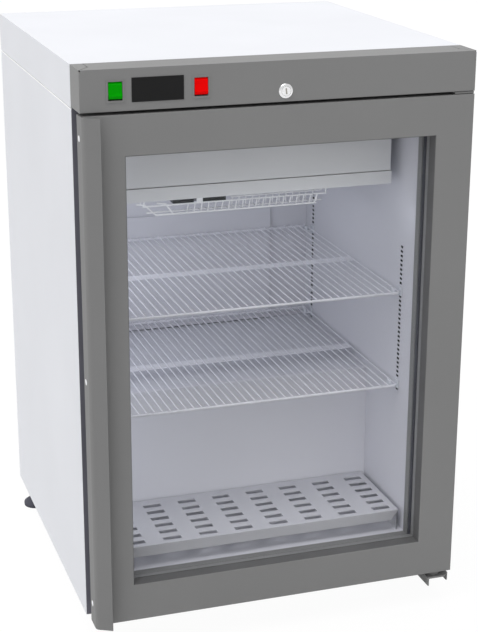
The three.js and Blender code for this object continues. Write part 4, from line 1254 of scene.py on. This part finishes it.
def seen_directly(tree):
    """1 for rays that show the background itself: to the camera, in a mirror or through glass."""
    path = add_node(tree, "LightPath")
    last = path.outputs["Is Camera Ray"]
    for output in ("Is Glossy Ray", "Is Transmission Ray"):
        add = add_node(tree, "Math")
        add.operation = "MAXIMUM"
        link(last, add.inputs[0])
        link(path.outputs[output], add.inputs[1])
        last = add.outputs["Value"]
    return last


def mixed_shaders(tree, factor, first, second):
    mix = add_node(tree, "MixShader")
    for source, socket in zip((factor, first, second), mix.inputs):
        link(source, socket)
    return mix.outputs["Shader"]


def white_floor():
    material = bpy.data.materials.new("white_floor")
    material.use_nodes = True
    tree = material.node_tree
    tree.nodes.clear()
    output = add_node(tree, "OutputMaterial")
    paper = add_node(tree, "BsdfDiffuse", Color=(0.5, 0.5, 0.5, 1))
    glow = add_node(tree, "Emission", Strength=FLOOR_GLOW)
    veil = add_node(tree, "Math")
    veil.operation = "MULTIPLY"
    veil.inputs[1].default_value = FLOOR_VEIL
    link(seen_directly(tree), veil.inputs[0])
    sockets = (veil.outputs["Value"], paper.outputs["BSDF"], glow.outputs["Emission"])
    link(mixed_shaders(tree, *sockets), output.inputs["Surface"])
    return material


SKY = 0.81
SKY_SIDE = 0.45
KEY_STRENGTH = 1.6
KEY_DIRECTION = (-0.26, -0.1, 0.96)
KEY_SOFTNESS = 50


def light_studio():
    """Room light that is stronger from the left, and one wide soft lamp overhead."""
    world = bpy.data.worlds.new("studio")
    scene.world = world
    world.use_nodes = True
    tree = world.node_tree
    room = tree.nodes["Background"]
    set_inputs(room, Color=(1, 1, 1, 1))
    direction = add_node(tree, "TexCoord")
    split = add_node(tree, "SeparateXYZ")
    slope = add_node(tree, "Math")
    slope.operation = "MULTIPLY_ADD"
    slope.inputs[1].default_value = -SKY_SIDE
    slope.inputs[2].default_value = SKY
    link(direction.outputs["Generated"], split.inputs["Vector"])
    link(split.outputs["X"], slope.inputs[0])
    link(slope.outputs["Value"], room.inputs["Strength"])
    backdrop = add_node(tree, "Background", Strength=1.0)
    sockets = (seen_directly(tree), room.outputs["Background"], backdrop.outputs["Background"])
    link(mixed_shaders(tree, *sockets), tree.nodes["World Output"].inputs["Surface"])
    sun = placed("key", bpy.data.lights.new("key", "SUN"))
    sun.data.energy = KEY_STRENGTH
    sun.data.angle = math.radians(KEY_SOFTNESS)
    sun.rotation_euler = Vector(KEY_DIRECTION).to_track_quat("Z", "Y").to_euler()
    add_cabinet_lamps()
    scene.view_settings.view_transform = "Standard"


CABINET_LAMP_COLOUR = (0.93, 0.96, 1)
CABINET_LAMPS = (
    ((0, 50, 400), (0.46, 0.54), (0, 1, 0), 0.12),
    ((-241, 290, 440), (0.42, 0.66), (1, 0, 0), 0.72),
    ((0, 385, 636), (0.42, 0.26), (0, 0, -1), 0.11),
    ((0, 60, 640), (0.44, 0.02), (0, 1, 0), 0.1),
)


def add_cabinet_lamps():
    """Unseen soft lights that lift the inside a little; lists (middle, size, direction, power)."""
    for place, size, direction, power in CABINET_LAMPS:
        data = bpy.data.lights.new("cabinet_lamp", "AREA")
        data.shape = "RECTANGLE"
        data.size, data.size_y = size
        data.energy = power
        data.color = CABINET_LAMP_COLOUR
        lamp = placed("cabinet_lamp", data)
        lamp.location = at(*place)
        lamp.rotation_euler = (-Vector(direction)).to_track_quat("Z", "Y").to_euler()
        lamp.visible_camera = False
        lamp.visible_glossy = False
        lamp.visible_transmission = False


add_camera()
add_stage()
light_studio()
finish_plain_nodes()
make_shell()
make_liner()
make_evaporator()
make_tray()
make_door()
for shelf_level in ("upper", "lower"):
    make_shelf(shelf_level)
make_clips()
make_rack_channels()
make_guard()
make_fans()
make_coil("evaporator_coil", "evaporator", rows=3, tubes=4)
make_compressor()
make_condenser()
make_rear()
make_handle()
make_seal()
make_bead()
make_controls()
make_lock()
make_hinges()
make_feet()
